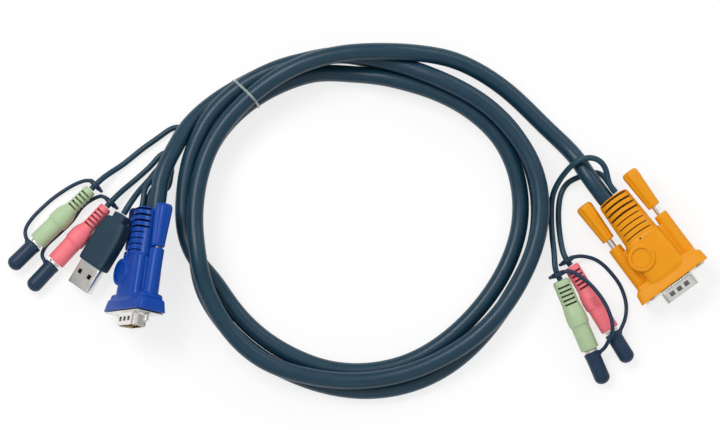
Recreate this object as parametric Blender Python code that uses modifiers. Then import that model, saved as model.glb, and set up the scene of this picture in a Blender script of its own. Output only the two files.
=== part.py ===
# KVM cable: one thick cable in a tied coil, a blue and an orange 15-pin video plug with
# thumbscrews, a USB plug and two pairs of capped audio plugs on thin leads.
# Units are metres, +Z is up, and everything lies on the plane z = 0.
import math

import bmesh
import bpy
import numpy as np
from mathutils import Matrix, Vector

mm = 0.001

# Clearance between neighbouring pieces
gap = 0.3 * mm

# Cables
cable_diameter = 7.5 * mm
audio_lead_diameter = 2.6 * mm
usb_lead_diameter = 2.8 * mm
tether_diameter = 1.75 * mm
strand_pitch = 7.8 * mm

# Tie around the coil
tie_thickness = 0.7 * mm
tie_width = 1.2 * mm
tie_angle = 129

# Video plug hood
screw_pitch = 24.99 * mm
flange_overhang = 5.25 * mm
flange_width = screw_pitch + 2 * flange_overhang
flange_height = 14.0 * mm
flange_thickness = 4.6 * mm
plateau_width = 19.0 * mm
plateau_height = 13.6 * mm
plateau_length = 24.9 * mm
lobe_length = 27.5 * mm
hood_length = 46.7 * mm
boot_rear_width = 14.1 * mm
boot_rear_height = 12.0 * mm
boot_front_width = 16.9 * mm
boot_front_height = 12.8 * mm
groove_count = 8
groove_pitch = 2.65 * mm
groove_width = 0.6 * mm
groove_depth = 0.9 * mm
first_groove_from_rear = 1.7 * mm
boot_rear_pinch = 0.93
boot_rear_round = 0.7 * mm
boot_squareness = 2.6
body_lip = 1.0 * mm
web_height = 5.0 * mm
plateau_corner = 2.2 * mm
flange_corner = 1.5 * mm
lobe_diameter = 6.2 * mm
badge_diameter = 11.0 * mm
badge_rim = 1.0 * mm
badge_height = 0.8 * mm
badge_recess_depth = 0.5 * mm
badge_offset = 3.9 * mm
badge_from_front = 18.0 * mm

# Video plug metalwork
screw_diameter = 2.84 * mm
screw_shank_diameter = 2.2 * mm
screw_thread_length = 8.0 * mm
screw_reach = 4.6 * mm
faceplate_overhang = 2.9 * mm
faceplate_width = screw_pitch + 2 * faceplate_overhang
faceplate_height = 12.5 * mm
faceplate_thickness = 0.6 * mm
shell_width = 16.92 * mm
shell_height = 8.36 * mm
shell_reach = 6.0 * mm
shell_wall = 0.45 * mm
shell_corner = 2.6 * mm
shell_slant = 10
pin_pitch = 2.29 * mm
pin_row_pitch = 1.98 * mm
pin_diameter = 0.76 * mm
pin_reach = 4.6 * mm
pin_block_depth = 7.0 * mm
pin_block_width = 19.0 * mm
pin_block_height = 10.0 * mm

# Thumbscrew knobs
knob_length = 18.7 * mm
knob_rear_diameter = 7.3 * mm
knob_front_diameter = 5.3 * mm
knob_flute_depth = 0.25 * mm
knob_flutes = 10
knob_grip_depth = 11.0 * mm
blue_knob_gap = 0.6 * mm
orange_knob_gap = 4.1 * mm

# Audio plug
plug_length = 33.0 * mm
plug_front_diameter = 8.2 * mm
plug_bulge_diameter = 9.2 * mm
plug_boot_diameter = 5.8 * mm
plug_slot_count = 5
plug_slot_pitch = 2.0 * mm
plug_slot_width = 0.7 * mm
plug_slot_depth = 0.7 * mm
plug_first_slot = 2.4 * mm
collar_diameter = 6.0 * mm
collar_length = 1.0 * mm
jack_diameter = 3.5 * mm
jack_length = 14.0 * mm
jack_ring_length = 2.0 * mm
jack_tip_length = 3.6 * mm
jack_band = 0.6 * mm
jack_core_diameter = 1.6 * mm
jack_core_socket = 2.0 * mm
jack_core_step = 0.15 * mm
jack_tip_waist = 0.35 * mm
cap_diameter = 7.0 * mm
cap_length = 15.2 * mm
cap_end_wall = 1.2 * mm
tether_ring_length = 2.0 * mm
tether_ring_diameter = 5.7 * mm
tether_ring_bore = 3.9 * mm
tether_ring_offset = 2.9 * mm
lug_reach = 4.2 * mm
lug_diameter = 2.2 * mm
cap_dome_height = 2.8 * mm

# USB plug
usb_hood_length = 22.8 * mm
usb_hood_width = 14.6 * mm
usb_hood_height = 7.4 * mm
usb_collar_length = 3.0 * mm
usb_collar_width = 7.1 * mm
usb_collar_height = 6.0 * mm
usb_chamfer = 1.7 * mm
usb_shell_width = 12.0 * mm
usb_shell_height = 4.5 * mm
usb_shell_wall = 0.35 * mm
usb_shell_reach = 11.8 * mm
usb_shell_seat = 6.0 * mm
usb_window = 2.1 * mm
usb_window_spacing = 5.8 * mm
usb_window_from_hood = 5.1 * mm
usb_tongue_thickness = 1.55 * mm
usb_contact_width = 1.0 * mm
usb_contact_thickness = 0.3 * mm
usb_contact_places = (-3.5 * mm, -1.0 * mm, 1.0 * mm, 3.5 * mm)

# The whole lay is moved by this much so that the plugs and the tie are centred on the origin
lay_shift = (1.198 * mm, 5.583 * mm)

# Radius of the middle of the coil in millimetres, every 15 degrees
coil_centre = (0.0, -1.8)
coil_radii = (
    76.1, 76.9, 76.0, 72.0, 69.3, 69.0, 70.2, 71.8, 75.0, 77.2, 77.2, 76.0,
    74.6, 74.2, 75.0, 73.6, 72.4, 72.2, 72.2, 71.9, 71.0, 71.0, 72.8, 75.0,
)

# Free routes in millimetres (x, y, height), from the blue plug's side or each plug's rear
blue_end_route = [
    (-89.35, 1.85, 15.8), (-88.7, 6.6, 15.5), (-88.0, 12.5, 15.0), (-85.4, 21.0, 13.4), (-80.4, 31.1, 10.4),
    (-74.8, 40.4, 7.6), (-68.0, 46.8, 6.0), (-59.0, 49.8, 5.6),
]
orange_end_route = [
    (8.0, 70.5, 11.0), (24.0, 72.6, 12.2), (40.6, 68.3, 11.3), (54.3, 62.6, 8.0), (66.9, 54.0, 5.6),
    (76.8, 44.8, 4.4), (84.0, 37.6, 4.3), (91.2, 30.6, 4.6), (96.8, 23.8, 6.4), (100.7, 17.2, 8.8),
    (103.9, 12.4, 9.7), (108.6, 6.0, 9.8),
]
left_usb_route = [
    (-104.4, -0.7, 10.6), (-102.2, 3.0, 10.9), (-99.8, 6.9, 9.6), (-97.2, 10.9, 6.8), (-93.6, 15.7, 3.2),
    (-90.0, 20.4, 1.8), (-86.8, 22.4, 1.6), (-84.4, 20.6, 2.0), (-84.9, 16.8, 3.6), (-88.0, 13.6, 6.2),
    (-91.4, 10.8, 9.2), (-93.0, 6.8, 11.0), (-93.7, 1.9, 11.6),
]
left_pink_route = [
    (-112.6, 3.2, 4.65), (-109.1, 7.0, 4.65), (-105.9, 10.4, 3.2), (-101.8, 14.2, 1.6), (-97.0, 18.4, 1.5),
    (-92.0, 23.4, 1.5), (-88.8, 26.8, 1.5), (-85.4, 27.8, 1.8), (-83.9, 25.0, 3.0), (-85.9, 21.2, 5.2),
    (-89.0, 17.6, 7.6), (-92.6, 14.0, 10.4), (-94.9, 10.2, 12.4), (-95.4, 6.6, 13.2), (-96.0, 2.3, 13.55),
]
left_green_route = [
    (-119.5, 11.0, 4.65), (-115.8, 14.7, 4.65), (-112.0, 18.0, 3.3), (-106.6, 21.9, 1.6), (-97.4, 29.3, 1.5),
    (-88.2, 36.0, 1.5), (-84.2, 38.6, 1.5), (-80.6, 39.0, 1.6), (-79.4, 36.0, 2.8), (-81.2, 31.0, 4.6),
    (-83.0, 26.0, 6.2), (-83.7, 20.5, 7.2), (-84.2, 14.8, 8.4), (-85.8, 10.6, 9.2), (-88.6, 8.8, 9.7),
    (-90.1, 5.8, 9.9), (-90.8, 1.4, 10.3),
]
right_green_route = [
    (88.35, -29.7, 8.85), (86.3, -25.0, 9.4), (85.9, -20.0, 8.6), (85.5, -12.4, 5.4), (85.2, -5.1, 2.6),
    (85.2, 1.6, 1.8), (85.9, 8.6, 2.4), (88.0, 13.7, 4.8), (91.2, 18.2, 8.8), (95.9, 22.3, 12.8),
    (101.9, 23.9, 14.0), (106.4, 22.0, 13.8), (108.8, 17.8, 13.2), (110.2, 12.4, 12.6), (112.8, 8.6, 12.4),
]
right_pink_route = [
    (93.35, -23.0, 4.65), (90.65, -18.6, 4.65), (89.5, -14.0, 3.3), (88.8, -8.1, 1.7), (88.4, -2.3, 1.5),
    (88.7, 4.8, 1.5), (90.2, 10.7, 1.5), (93.0, 14.4, 1.5), (96.8, 16.5, 1.5), (101.0, 18.0, 1.7),
    (104.6, 18.6, 3.0), (107.8, 16.9, 6.2), (110.3, 13.1, 8.6), (113.3, 9.1, 9.05),
]

# Tethers, from the ring on the lead to just outside the cap's lug
left_green_tether_route = [
    (-119.4, 14.7, 4.6), (-121.6, 15.8, 3.8), (-126.0, 15.2, 2.0), (-131.2, 12.2, 1.1), (-138.0, 6.8, 1.1),
    (-144.0, 0.6, 1.3), (-148.2, -4.8, 2.4), (-150.0, -8.2, 3.8), (-149.1, -10.6, 4.65),
]
left_pink_tether_route = [
    (-112.7, 6.9, 4.6), (-114.8, 8.0, 3.6), (-117.8, 6.2, 1.7), (-122.4, 1.4, 1.1), (-128.0, -4.6, 1.1),
    (-133.4, -10.6, 1.1), (-138.2, -15.6, 1.7), (-140.8, -18.0, 3.4), (-141.0, -19.9, 4.65),
]
right_green_tether_route = [
    (89.8, -26.3, 9.1), (93.0, -25.7, 9.6), (97.2, -27.6, 9.8), (101.7, -31.4, 9.8), (105.8, -36.4, 9.8),
    (109.0, -42.0, 9.9), (110.9, -48.0, 10.2), (110.7, -53.6, 9.9), (109.4, -57.8, 8.0), (107.6, -60.6, 5.0),
]
right_pink_tether_route = [
    (94.2, -19.4, 4.6), (96.6, -18.4, 3.6), (100.4, -18.5, 1.9), (106.4, -21.6, 1.1), (112.2, -27.4, 1.1),
    (116.6, -34.6, 1.1), (118.6, -41.6, 2.0), (118.3, -47.8, 3.8), (116.8, -51.2, 4.65),
]

palette = {
    "cable": ((0.035, 0.085, 0.13, 1.0), 0.35, 0.0),
    "navy_rubber": ((0.03, 0.06, 0.10, 1.0), 0.5, 0.0),
    "blue_plastic": ((0.01, 0.06, 0.38, 1.0), 0.4, 0.0),
    "orange_plastic": ((0.80, 0.33, 0.015, 1.0), 0.4, 0.0),
    "green_plastic": ((0.42, 0.60, 0.34, 1.0), 0.4, 0.0),
    "pink_plastic": ((0.88, 0.22, 0.26, 1.0), 0.4, 0.0),
    "nickel": ((0.62, 0.60, 0.56, 1.0), 0.3, 1.0),
    "gold": ((0.83, 0.62, 0.25, 1.0), 0.3, 1.0),
    "insulator": ((0.02, 0.02, 0.025, 1.0), 0.5, 0.0),
    "tie": ((0.55, 0.62, 0.58, 1.0), 0.4, 0.0),
}


def clear_scene():
    for old in list(bpy.data.objects):
        bpy.data.objects.remove(old, do_unlink=True)
    for old in list(bpy.data.collections):
        bpy.data.collections.remove(old)


def new_collection(name):
    collection = bpy.data.collections.new(name)
    bpy.context.scene.collection.children.link(collection)
    return collection


def material(name, finish):
    colour, roughness, metallic = palette[finish]
    mat = bpy.data.materials.new(name)
    mat.use_nodes = True
    shader = mat.node_tree.nodes["Principled BSDF"]
    shader.inputs["Base Color"].default_value = colour
    shader.inputs["Roughness"].default_value = roughness
    shader.inputs["Metallic"].default_value = metallic
    mat.diffuse_color = colour
    return mat


clear_scene()
parts = new_collection("kvm_cable")
cutters = new_collection("cutters")


def empty(name, parent=None, location=(0, 0, 0), matrix=None):
    holder = bpy.data.objects.new(name, None)
    parts.objects.link(holder)
    holder.parent = parent
    if matrix is None:
        holder.location = location
    else:
        holder.matrix_local = matrix
    return holder


def add_object(name, data, finish, parent, location=(0, 0, 0)):
    thing = bpy.data.objects.new(name, data)
    parts.objects.link(thing)
    thing.parent = parent
    thing.location = location
    data.materials.append(material(name + "_material", finish))
    return thing


def add_cutter(name, data, parent, location=(0, 0, 0)):
    cutter = bpy.data.objects.new(name, data)
    cutters.objects.link(cutter)
    cutter.parent = parent
    cutter.location = location
    cutter.hide_render = True
    cutter.display_type = "WIRE"
    return cutter


def boolean(target, operand, operation):
    cut = target.modifiers.new(operand.name, "BOOLEAN")
    cut.operation = operation
    cut.solver = "EXACT"
    cut.object = operand
    return cut


def mesh_from(bm, name, smooth=True):
    bmesh.ops.recalc_face_normals(bm, faces=bm.faces)
    data = bpy.data.meshes.new(name)
    bm.to_mesh(data)
    bm.free()
    if smooth:
        data.shade_smooth()
        data.set_sharp_from_angle(angle=math.radians(35))
    return data


def box_mesh(name, width, height, z_low, z_high, bevel=0.0, segments=2):
    """A block across X and Y, centred on the axis, between two heights along Z."""
    bm = bmesh.new()
    bmesh.ops.create_cube(bm, size=1.0)
    bmesh.ops.scale(bm, vec=(width, height, z_high - z_low), verts=bm.verts)
    bmesh.ops.translate(bm, vec=(0, 0, (z_high + z_low) / 2), verts=bm.verts)
    if bevel > 0:
        upright = [e for e in bm.edges if abs(e.verts[0].co.z - e.verts[1].co.z) > gap]
        bmesh.ops.bevel(
            bm, geom=upright, offset=bevel, segments=segments, profile=0.5, affect="EDGES"
        )
    return mesh_from(bm, name)


def rod_mesh(name, diameter, z_low, z_high, sides=16):
    """A round bar along Z."""
    bm = bmesh.new()
    bmesh.ops.create_cone(
        bm, cap_ends=True, cap_tris=False, segments=sides,
        radius1=diameter / 2, radius2=diameter / 2, depth=z_high - z_low,
    )
    bmesh.ops.translate(bm, vec=(0, 0, (z_high + z_low) / 2), verts=bm.verts)
    return mesh_from(bm, name)


def turned(name, profile, finish, parent, location=(0, 0, 0), sides=16):
    """A turned piece about Z. The profile lists (radius, z) from the top down the outer side."""
    bm = bmesh.new()
    verts = [bm.verts.new((radius, 0, z)) for radius, z in profile]
    for first, second in zip(verts, verts[1:]):
        bm.edges.new((first, second))
    data = bpy.data.meshes.new(name)
    bm.to_mesh(data)
    bm.free()
    thing = add_object(name, data, finish, parent, location)
    screw = thing.modifiers.new("turn", "SCREW")
    screw.axis = "Z"
    screw.steps = sides
    screw.render_steps = sides
    screw.use_merge_vertices = True
    screw.merge_threshold = 0.00001
    screw.use_smooth_shade = True
    return thing


def loft_mesh(name, sections):
    """A closed skin over rings of equally many points, with flat ends."""
    bm = bmesh.new()
    rings = [[bm.verts.new(point) for point in ring] for ring in sections]
    count = len(rings[0])
    for lower, upper in zip(rings, rings[1:]):
        for i in range(count):
            j = (i + 1) % count
            bm.faces.new((lower[i], lower[j], upper[j], upper[i]))
    bm.faces.new(list(reversed(rings[0])))
    bm.faces.new(rings[-1])
    bmesh.ops.remove_doubles(bm, verts=bm.verts, dist=0.00001)
    return mesh_from(bm, name)


def oval_ring(half_width, half_height, z, sides, power=2.0, groove=0.0):
    """Points of a rounded section at height z. A groove lowers the wide faces only."""
    ring = []
    for i in range(sides):
        angle = 2 * math.pi * (i + 0.5) / sides
        c, s = math.cos(angle), math.sin(angle)
        x = half_width * math.copysign(abs(c) ** (2 / power), c)
        y = half_height * math.copysign(abs(s) ** (2 / power), s)
        if groove > 0 and abs(c) < 0.9:
            y -= math.copysign(groove, s)
        ring.append((x, y, z))
    return ring


def d_outline(width, height, corner, inset=0.0, points=4):
    """Outline of a D-shaped connector shell, wide side up, as a list of (x, y)."""
    half_height = height / 2 - inset
    lean = math.tan(math.radians(shell_slant)) * half_height
    half_width = width / 2 - inset - lean
    radius = corner - inset
    outline = []
    corners = (
        (half_width + lean - radius, half_height - radius, 0, 90 - shell_slant / 2),
        (-half_width - lean + radius, half_height - radius, 90 + shell_slant / 2, 180),
        (-half_width + lean + radius, -half_height + radius, 180, 270),
        (half_width - lean - radius, -half_height + radius, 270, 360),
    )
    for x, y, start, end in corners:
        for i in range(points):
            angle = math.radians(start + (end - start) * i / (points - 1))
            outline.append((x + radius * math.cos(angle), y + radius * math.sin(angle)))
    return outline


def prism_mesh(name, outline, z_low, z_high):
    """A flat outline extruded along Z."""
    return loft_mesh(name, [[(x, y, z) for x, y in outline] for z in (z_low, z_high)])


def smooth_route(points, spacing):
    """Evenly spaced points on a natural cubic spline through a route's own points."""
    route = np.array(points, float)
    chords = np.linalg.norm(np.diff(route, axis=0), axis=1)
    at = np.concatenate([[0], np.cumsum(chords)])
    count = len(route)
    system = np.zeros((count, count))
    right = np.zeros_like(route)
    system[0, 0] = system[-1, -1] = 1
    for i in range(1, count - 1):
        before, after = chords[i - 1], chords[i]
        system[i, i - 1:i + 2] = before, 2 * (before + after), after
        right[i] = 6 * ((route[i + 1] - route[i]) / after - (route[i] - route[i - 1]) / before)
    bend = np.linalg.solve(system, right)
    steps = max(2, int(round(at[-1] / spacing)))
    smooth = []
    for t in np.linspace(0, at[-1], steps + 1):
        i = min(int(np.searchsorted(at, t, side="right")) - 1, count - 2)
        h = chords[i]
        a, b = (at[i + 1] - t) / h, (t - at[i]) / h
        smooth.append(
            a * route[i] + b * route[i + 1]
            + ((a ** 3 - a) * bend[i] + (b ** 3 - b) * bend[i + 1]) * h * h / 6
        )
    return smooth


def tube_curve(name, points, diameter, resolution=2):
    """A round tube with filled ends through points in metres."""
    curve = bpy.data.curves.new(name, "CURVE")
    curve.dimensions = "3D"
    curve.bevel_depth = diameter / 2
    curve.bevel_resolution = resolution
    curve.use_fill_caps = True
    spline = curve.splines.new("POLY")
    spline.points.add(len(points) - 1)
    for slot, point in zip(spline.points, points):
        slot.co = (*point, 1.0)
    spline.use_smooth = True
    return curve


def cord(name, route, diameter, parent, finish="cable", resolution=2, spacing=2.0):
    """A free cord along a route in millimetres."""
    points = smooth_route(route, spacing * diameter / mm)
    curve = tube_curve(name, [Vector(p) * mm for p in points], diameter, resolution)
    return add_object(name, curve, finish, parent)


def solid_from_curve(thing):
    """Turn a tube into a closed mesh that Booleans can cut."""
    bpy.context.view_layer.update()
    evaluated = thing.evaluated_get(bpy.context.evaluated_depsgraph_get())
    data = bpy.data.meshes.new_from_object(evaluated)
    bm = bmesh.new()
    bm.from_mesh(data)
    bmesh.ops.remove_doubles(bm, verts=bm.verts, dist=0.00001)
    bmesh.ops.recalc_face_normals(bm, faces=bm.faces)
    bm.to_mesh(data)
    bm.free()
    name = thing.name
    solid = bpy.data.objects.new(name + "_solid", data)
    for home in thing.users_collection:
        home.objects.link(solid)
    solid.matrix_world = thing.matrix_world
    bpy.data.objects.remove(thing, do_unlink=True)
    solid.name = name
    return solid


def aim(position, heading, pitch=0.0, roll=0.0):
    """Frame with +Z along the heading, +Y up, then pitched nose up and rolled right side up."""
    h, p, r = (math.radians(a) for a in (heading, pitch, roll))
    forward = Vector((math.cos(h) * math.cos(p), math.sin(h) * math.cos(p), math.sin(p)))
    side = Vector((-math.sin(h), math.cos(h), 0))
    up = forward.cross(side)
    x_axis = side * math.cos(r) + up * math.sin(r)
    y_axis = up * math.cos(r) - side * math.sin(r)
    matrix = Matrix((x_axis, y_axis, forward)).transposed().to_4x4()
    matrix.translation = Vector(position) * mm
    return matrix


lay = empty("lay", location=(lay_shift[0], lay_shift[1], 0))


# Coil of thick cable, as the outer shape of its four tied strands

coil_half = strand_pitch / 2 + cable_diameter / 2
tie_lift = gap + tie_thickness
coil_step = 360 / len(coil_radii)
coil_start = 1.5


def strand_outline(radius):
    """Outline round four strands, two over two."""
    half = strand_pitch / 2
    outline = []
    for x, y, start in ((half, half, -45), (-half, half, 45), (-half, -half, 135), (half, -half, 225)):
        for turn in range(0, 181, 45):
            angle = math.radians(start + turn)
            outline.append((x + radius * math.cos(angle), y + radius * math.sin(angle)))
    return outline


def coil_point(index):
    """Point on the middle of the coil, which rides up a little over the tie."""
    angle = coil_start + coil_step * index
    away = math.radians(angle - tie_angle)
    rise = tie_lift * max(0.0, math.cos(away)) ** 6
    radius = coil_radii[index % len(coil_radii)] * mm
    return Vector((
        coil_centre[0] * mm + radius * math.cos(math.radians(angle)),
        coil_centre[1] * mm + radius * math.sin(math.radians(angle)),
        coil_half + rise,
    ))


def coil_curve(name, strand_radius):
    section = bpy.data.curves.new(name + "_section", "CURVE")
    section.dimensions = "2D"
    spline = section.splines.new("POLY")
    points = strand_outline(strand_radius)[::-1]
    spline.points.add(len(points) - 1)
    for slot, (x, y) in zip(spline.points, points):
        slot.co = (x, y, 0, 1)
    spline.use_cyclic_u = True
    curve = bpy.data.curves.new(name, "CURVE")
    curve.dimensions = "3D"
    curve.twist_mode = "Z_UP"
    curve.bevel_mode = "OBJECT"
    curve.bevel_object = add_cutter(name + "_section", section, None)
    ring = curve.splines.new("POLY")
    ring.points.add(len(coil_radii) - 1)
    for i, slot in enumerate(ring.points):
        slot.co = (*coil_point(i), 1)
    ring.use_cyclic_u = True
    ring.use_smooth = True
    return curve


add_object("main_cable_coil", coil_curve("main_cable_coil", cable_diameter / 2), "cable", lay)
coil_clearance = add_cutter("coil_clearance", coil_curve("coil_clearance", cable_diameter / 2 + gap), lay)
coil_clearance = solid_from_curve(coil_clearance)
coil_clearance.hide_render = True
coil_clearance.display_type = "WIRE"


def coil_middle(angle):
    """Point on the middle of the coil at an angle in degrees, and the direction of travel."""
    place = (angle - coil_start) / coil_step
    first, second = coil_point(int(place)), coil_point(int(place) + 1)
    return first.lerp(second, place - int(place)), (second - first).normalized()


def rounded_square(half, radius, points=4):
    """Outline of a square with round corners, as a list of (x, y)."""
    flat = half - radius
    outline = []
    for x, y, start in ((1, 1, 0), (-1, 1, 90), (-1, -1, 180), (1, -1, 270)):
        for i in range(points):
            angle = math.radians(start + 90 * i / (points - 1))
            outline.append((x * flat + radius * math.cos(angle), y * flat + radius * math.sin(angle)))
    return outline


def build_tie():
    place, along = coil_middle(tie_angle)
    curve = bpy.data.curves.new("cable_tie", "CURVE")
    curve.dimensions = "2D"
    curve.fill_mode = "BOTH"
    curve.extrude = tie_width / 2
    inner_half = coil_half + gap
    inner_radius = cable_diameter / 2 + gap
    for wall in (tie_thickness, 0):
        outline = rounded_square(inner_half + wall, inner_radius + wall)
        spline = curve.splines.new("POLY")
        spline.points.add(len(outline) - 1)
        for slot, (x, y) in zip(spline.points, outline):
            slot.co = (x, y, 0, 1)
        spline.use_cyclic_u = True
    tie = add_object("cable_tie", curve, "tie", lay)
    out = Vector((along.y, -along.x, 0))
    up = Vector((0, 0, 1))
    matrix = Matrix((out, up, out.cross(up))).transposed().to_4x4()
    matrix.translation = Vector((place.x, place.y, coil_half + tie_lift))
    tie.matrix_local = matrix


build_tie()


# Video plug: hood, metal shell, contact block, two thumbscrews

def boot_sections():
    """Sections of the ribbed boot from its rear end to inside the body."""
    rear = -hood_length
    boot_length = hood_length - plateau_length
    inside_body = -plateau_length + 1.5 * mm
    sides = 16

    def at(z, groove=0.0):
        share = (z - rear) / boot_length
        half_width = (boot_rear_width + (boot_front_width - boot_rear_width) * share) / 2
        half_height = (boot_rear_height + (boot_front_height - boot_rear_height) * share) / 2
        return oval_ring(half_width, half_height, z, sides, boot_squareness, groove)

    sections = [
        [(x * boot_rear_pinch, y * boot_rear_pinch, z) for x, y, z in at(rear)],
        at(rear + boot_rear_round),
    ]
    for i in range(groove_count):
        start = rear + first_groove_from_rear + i * groove_pitch
        end = start + groove_width
        sections += [at(start), at(start, groove_depth), at(end, groove_depth), at(end)]
    sections.append(at(inside_body))
    return sections


def badge_cutter(plug, name, diameter, low, high):
    """A round bar upright on the hood's wide face, where the badge is."""
    bar = rod_mesh(name, diameter, low, high, 24)
    bar.transform(Matrix.Rotation(math.radians(-90), 4, "X"))
    return add_cutter(name, bar, plug, (-badge_offset, 0, -badge_from_front))


def build_hood(plug, side, finish):
    name = side + "_hood"
    hood = add_object(name, loft_mesh(name, boot_sections()), finish, plug)
    plateau = box_mesh("plateau", plateau_width, plateau_height, -plateau_length, -body_lip, plateau_corner)
    boolean(hood, add_cutter(side + "_plateau", plateau, plug), "UNION")
    web = box_mesh("web", screw_pitch, web_height, -plateau_length, -body_lip)
    boolean(hood, add_cutter(side + "_web", web, plug), "UNION")
    for label, x in (("left", -screw_pitch / 2), ("right", screw_pitch / 2)):
        lobe = rod_mesh("lobe", lobe_diameter, -lobe_length, -body_lip)
        boolean(hood, add_cutter(f"{side}_{label}_lobe", lobe, plug, (x, 0, 0)), "UNION")
    flange = box_mesh("flange", flange_width, flange_height, -flange_thickness, 0, flange_corner)
    boolean(hood, add_cutter(side + "_flange", flange, plug), "UNION")
    face = plateau_height / 2
    top = face + badge_height
    rim = badge_cutter(plug, side + "_badge", badge_diameter, face - body_lip, top)
    boolean(hood, rim, "UNION")
    recess_size = badge_diameter - 2 * badge_rim
    recess = badge_cutter(plug, side + "_badge_recess", recess_size, top - badge_recess_depth, top + body_lip)
    boolean(hood, recess, "DIFFERENCE")
    for label, x in (("left", -screw_pitch / 2), ("right", screw_pitch / 2)):
        bore = rod_mesh("bore", screw_diameter + 2 * gap, -lobe_length - body_lip, body_lip)
        boolean(hood, add_cutter(f"{side}_{label}_bore", bore, plug, (x, 0, 0)), "DIFFERENCE")
    pocket_depth = pin_block_depth + gap
    pocket = box_mesh("pocket", pin_block_width + 2 * gap, pin_block_height + 2 * gap, -pocket_depth, body_lip)
    boolean(hood, add_cutter(side + "_pocket", pocket, plug), "DIFFERENCE")


def build_shell(plug, side):
    name = side + "_video_shell"
    front = gap + faceplate_thickness
    plate = box_mesh(name, faceplate_width, faceplate_height, gap, front, 1.2 * mm)
    shell = add_object(name, plate, "nickel", plug)
    tip = gap + shell_reach
    outline = d_outline(shell_width, shell_height, shell_corner)
    outer = prism_mesh("outside", outline, gap + faceplate_thickness / 2, tip)
    boolean(shell, add_cutter(side + "_shell_outside", outer, plug), "UNION")
    inner_outline = d_outline(shell_width, shell_height, shell_corner, shell_wall)
    inner = prism_mesh("inside", inner_outline, -front, tip + front)
    boolean(shell, add_cutter(side + "_shell_inside", inner, plug), "DIFFERENCE")
    for label, x in (("left", -screw_pitch / 2), ("right", screw_pitch / 2)):
        hole = rod_mesh("hole", screw_diameter + 2 * gap, -front, 3 * front)
        boolean(shell, add_cutter(f"{side}_{label}_screw_hole", hole, plug, (x, 0, 0)), "DIFFERENCE")


def build_contacts(plug, side):
    name = side + "_contact_block"
    block = add_object(
        name, box_mesh(name, pin_block_width, pin_block_height, -pin_block_depth, 0), "insulator", plug
    )
    face = gap + faceplate_thickness
    nose = prism_mesh(
        "nose", d_outline(shell_width, shell_height, shell_corner, shell_wall + gap), -1.0 * mm, face
    )
    boolean(block, add_cutter(side + "_contact_nose", nose, plug), "UNION")
    for row in range(3):
        shift = pin_pitch / 2 if row == 1 else 0
        for column in range(5):
            x = (column - 2) * pin_pitch + shift - pin_pitch / 4
            y = (1 - row) * pin_row_pitch
            pin = rod_mesh("pin", pin_diameter, face - 0.5 * mm, face + pin_reach, 6)
            boolean(block, add_cutter(f"{side}_pin_{row}_{column}", pin, plug, (x, y, 0)), "UNION")


def knob_ring(diameter, z):
    ring = []
    for i in range(2 * knob_flutes):
        angle = math.pi * i / knob_flutes
        radius = diameter / 2 - (knob_flute_depth if i % 2 else 0)
        ring.append((radius * math.cos(angle), radius * math.sin(angle), z))
    return ring


def build_thumbscrew(plug, side, label, x, knob_gap):
    """The screw slides in the hood along the axis, and the knob turns about it."""
    axis = empty(f"{side}_{label}_screw_axis", plug, (x, 0, 0))
    knob_front = -lobe_length - knob_gap
    tip = screw_reach - knob_gap + blue_knob_gap
    radius = screw_diameter / 2
    shank = screw_shank_diameter / 2
    tail = knob_front - knob_grip_depth + gap
    turned(
        f"{side}_{label}_screw",
        [
            (0, tip), (radius - 0.5 * mm, tip), (radius, tip - 0.5 * mm), (radius, tip - screw_thread_length),
            (shank, tip - screw_thread_length - 0.5 * mm), (shank, knob_front + 3.0 * mm),
            (radius, knob_front + 2.5 * mm), (radius, tail), (0, tail),
        ],
        "nickel", axis, sides=12,
    )
    name = f"{side}_{label}_knob"
    rear = knob_front - knob_length
    sections = [
        knob_ring(knob_rear_diameter - 1.6 * mm, rear),
        knob_ring(knob_rear_diameter, rear + 0.8 * mm),
        knob_ring(knob_front_diameter + 0.3 * mm, knob_front - 0.5 * mm),
        knob_ring(knob_front_diameter - 0.4 * mm, knob_front),
    ]
    knob = add_object(name, loft_mesh(name, sections), side + "_plastic", axis)
    bore = rod_mesh("bore", screw_diameter + 2 * gap, knob_front - knob_grip_depth, knob_front + 1.0 * mm, 12)
    boolean(knob, add_cutter(name + "_bore", bore, axis), "DIFFERENCE")


def build_video_plug(side, matrix, knob_gap):
    plug = empty(side + "_plug", lay, matrix=matrix)
    build_hood(plug, side, side + "_plastic")
    build_shell(plug, side)
    build_contacts(plug, side)
    build_thumbscrew(plug, side, "left", -screw_pitch / 2, knob_gap)
    build_thumbscrew(plug, side, "right", screw_pitch / 2, knob_gap)


build_video_plug("blue", aim((-98.6, -44.8, 18.9), -98.15, 5.2, 58), blue_knob_gap)
build_video_plug("orange", aim((138.8, -30.6, 10.35), -53.8, 0, 11), orange_knob_gap)


# USB plug

def chamfered_ring(width, height, z, chamfer=usb_chamfer):
    a, b, c = width / 2, height / 2, chamfer
    return [
        (a, b - c, z), (a - c, b, z), (-a + c, b, z), (-a, b - c, z),
        (-a, -b + c, z), (-a + c, -b, z), (a - c, -b, z), (a, -b + c, z),
    ]


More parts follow.
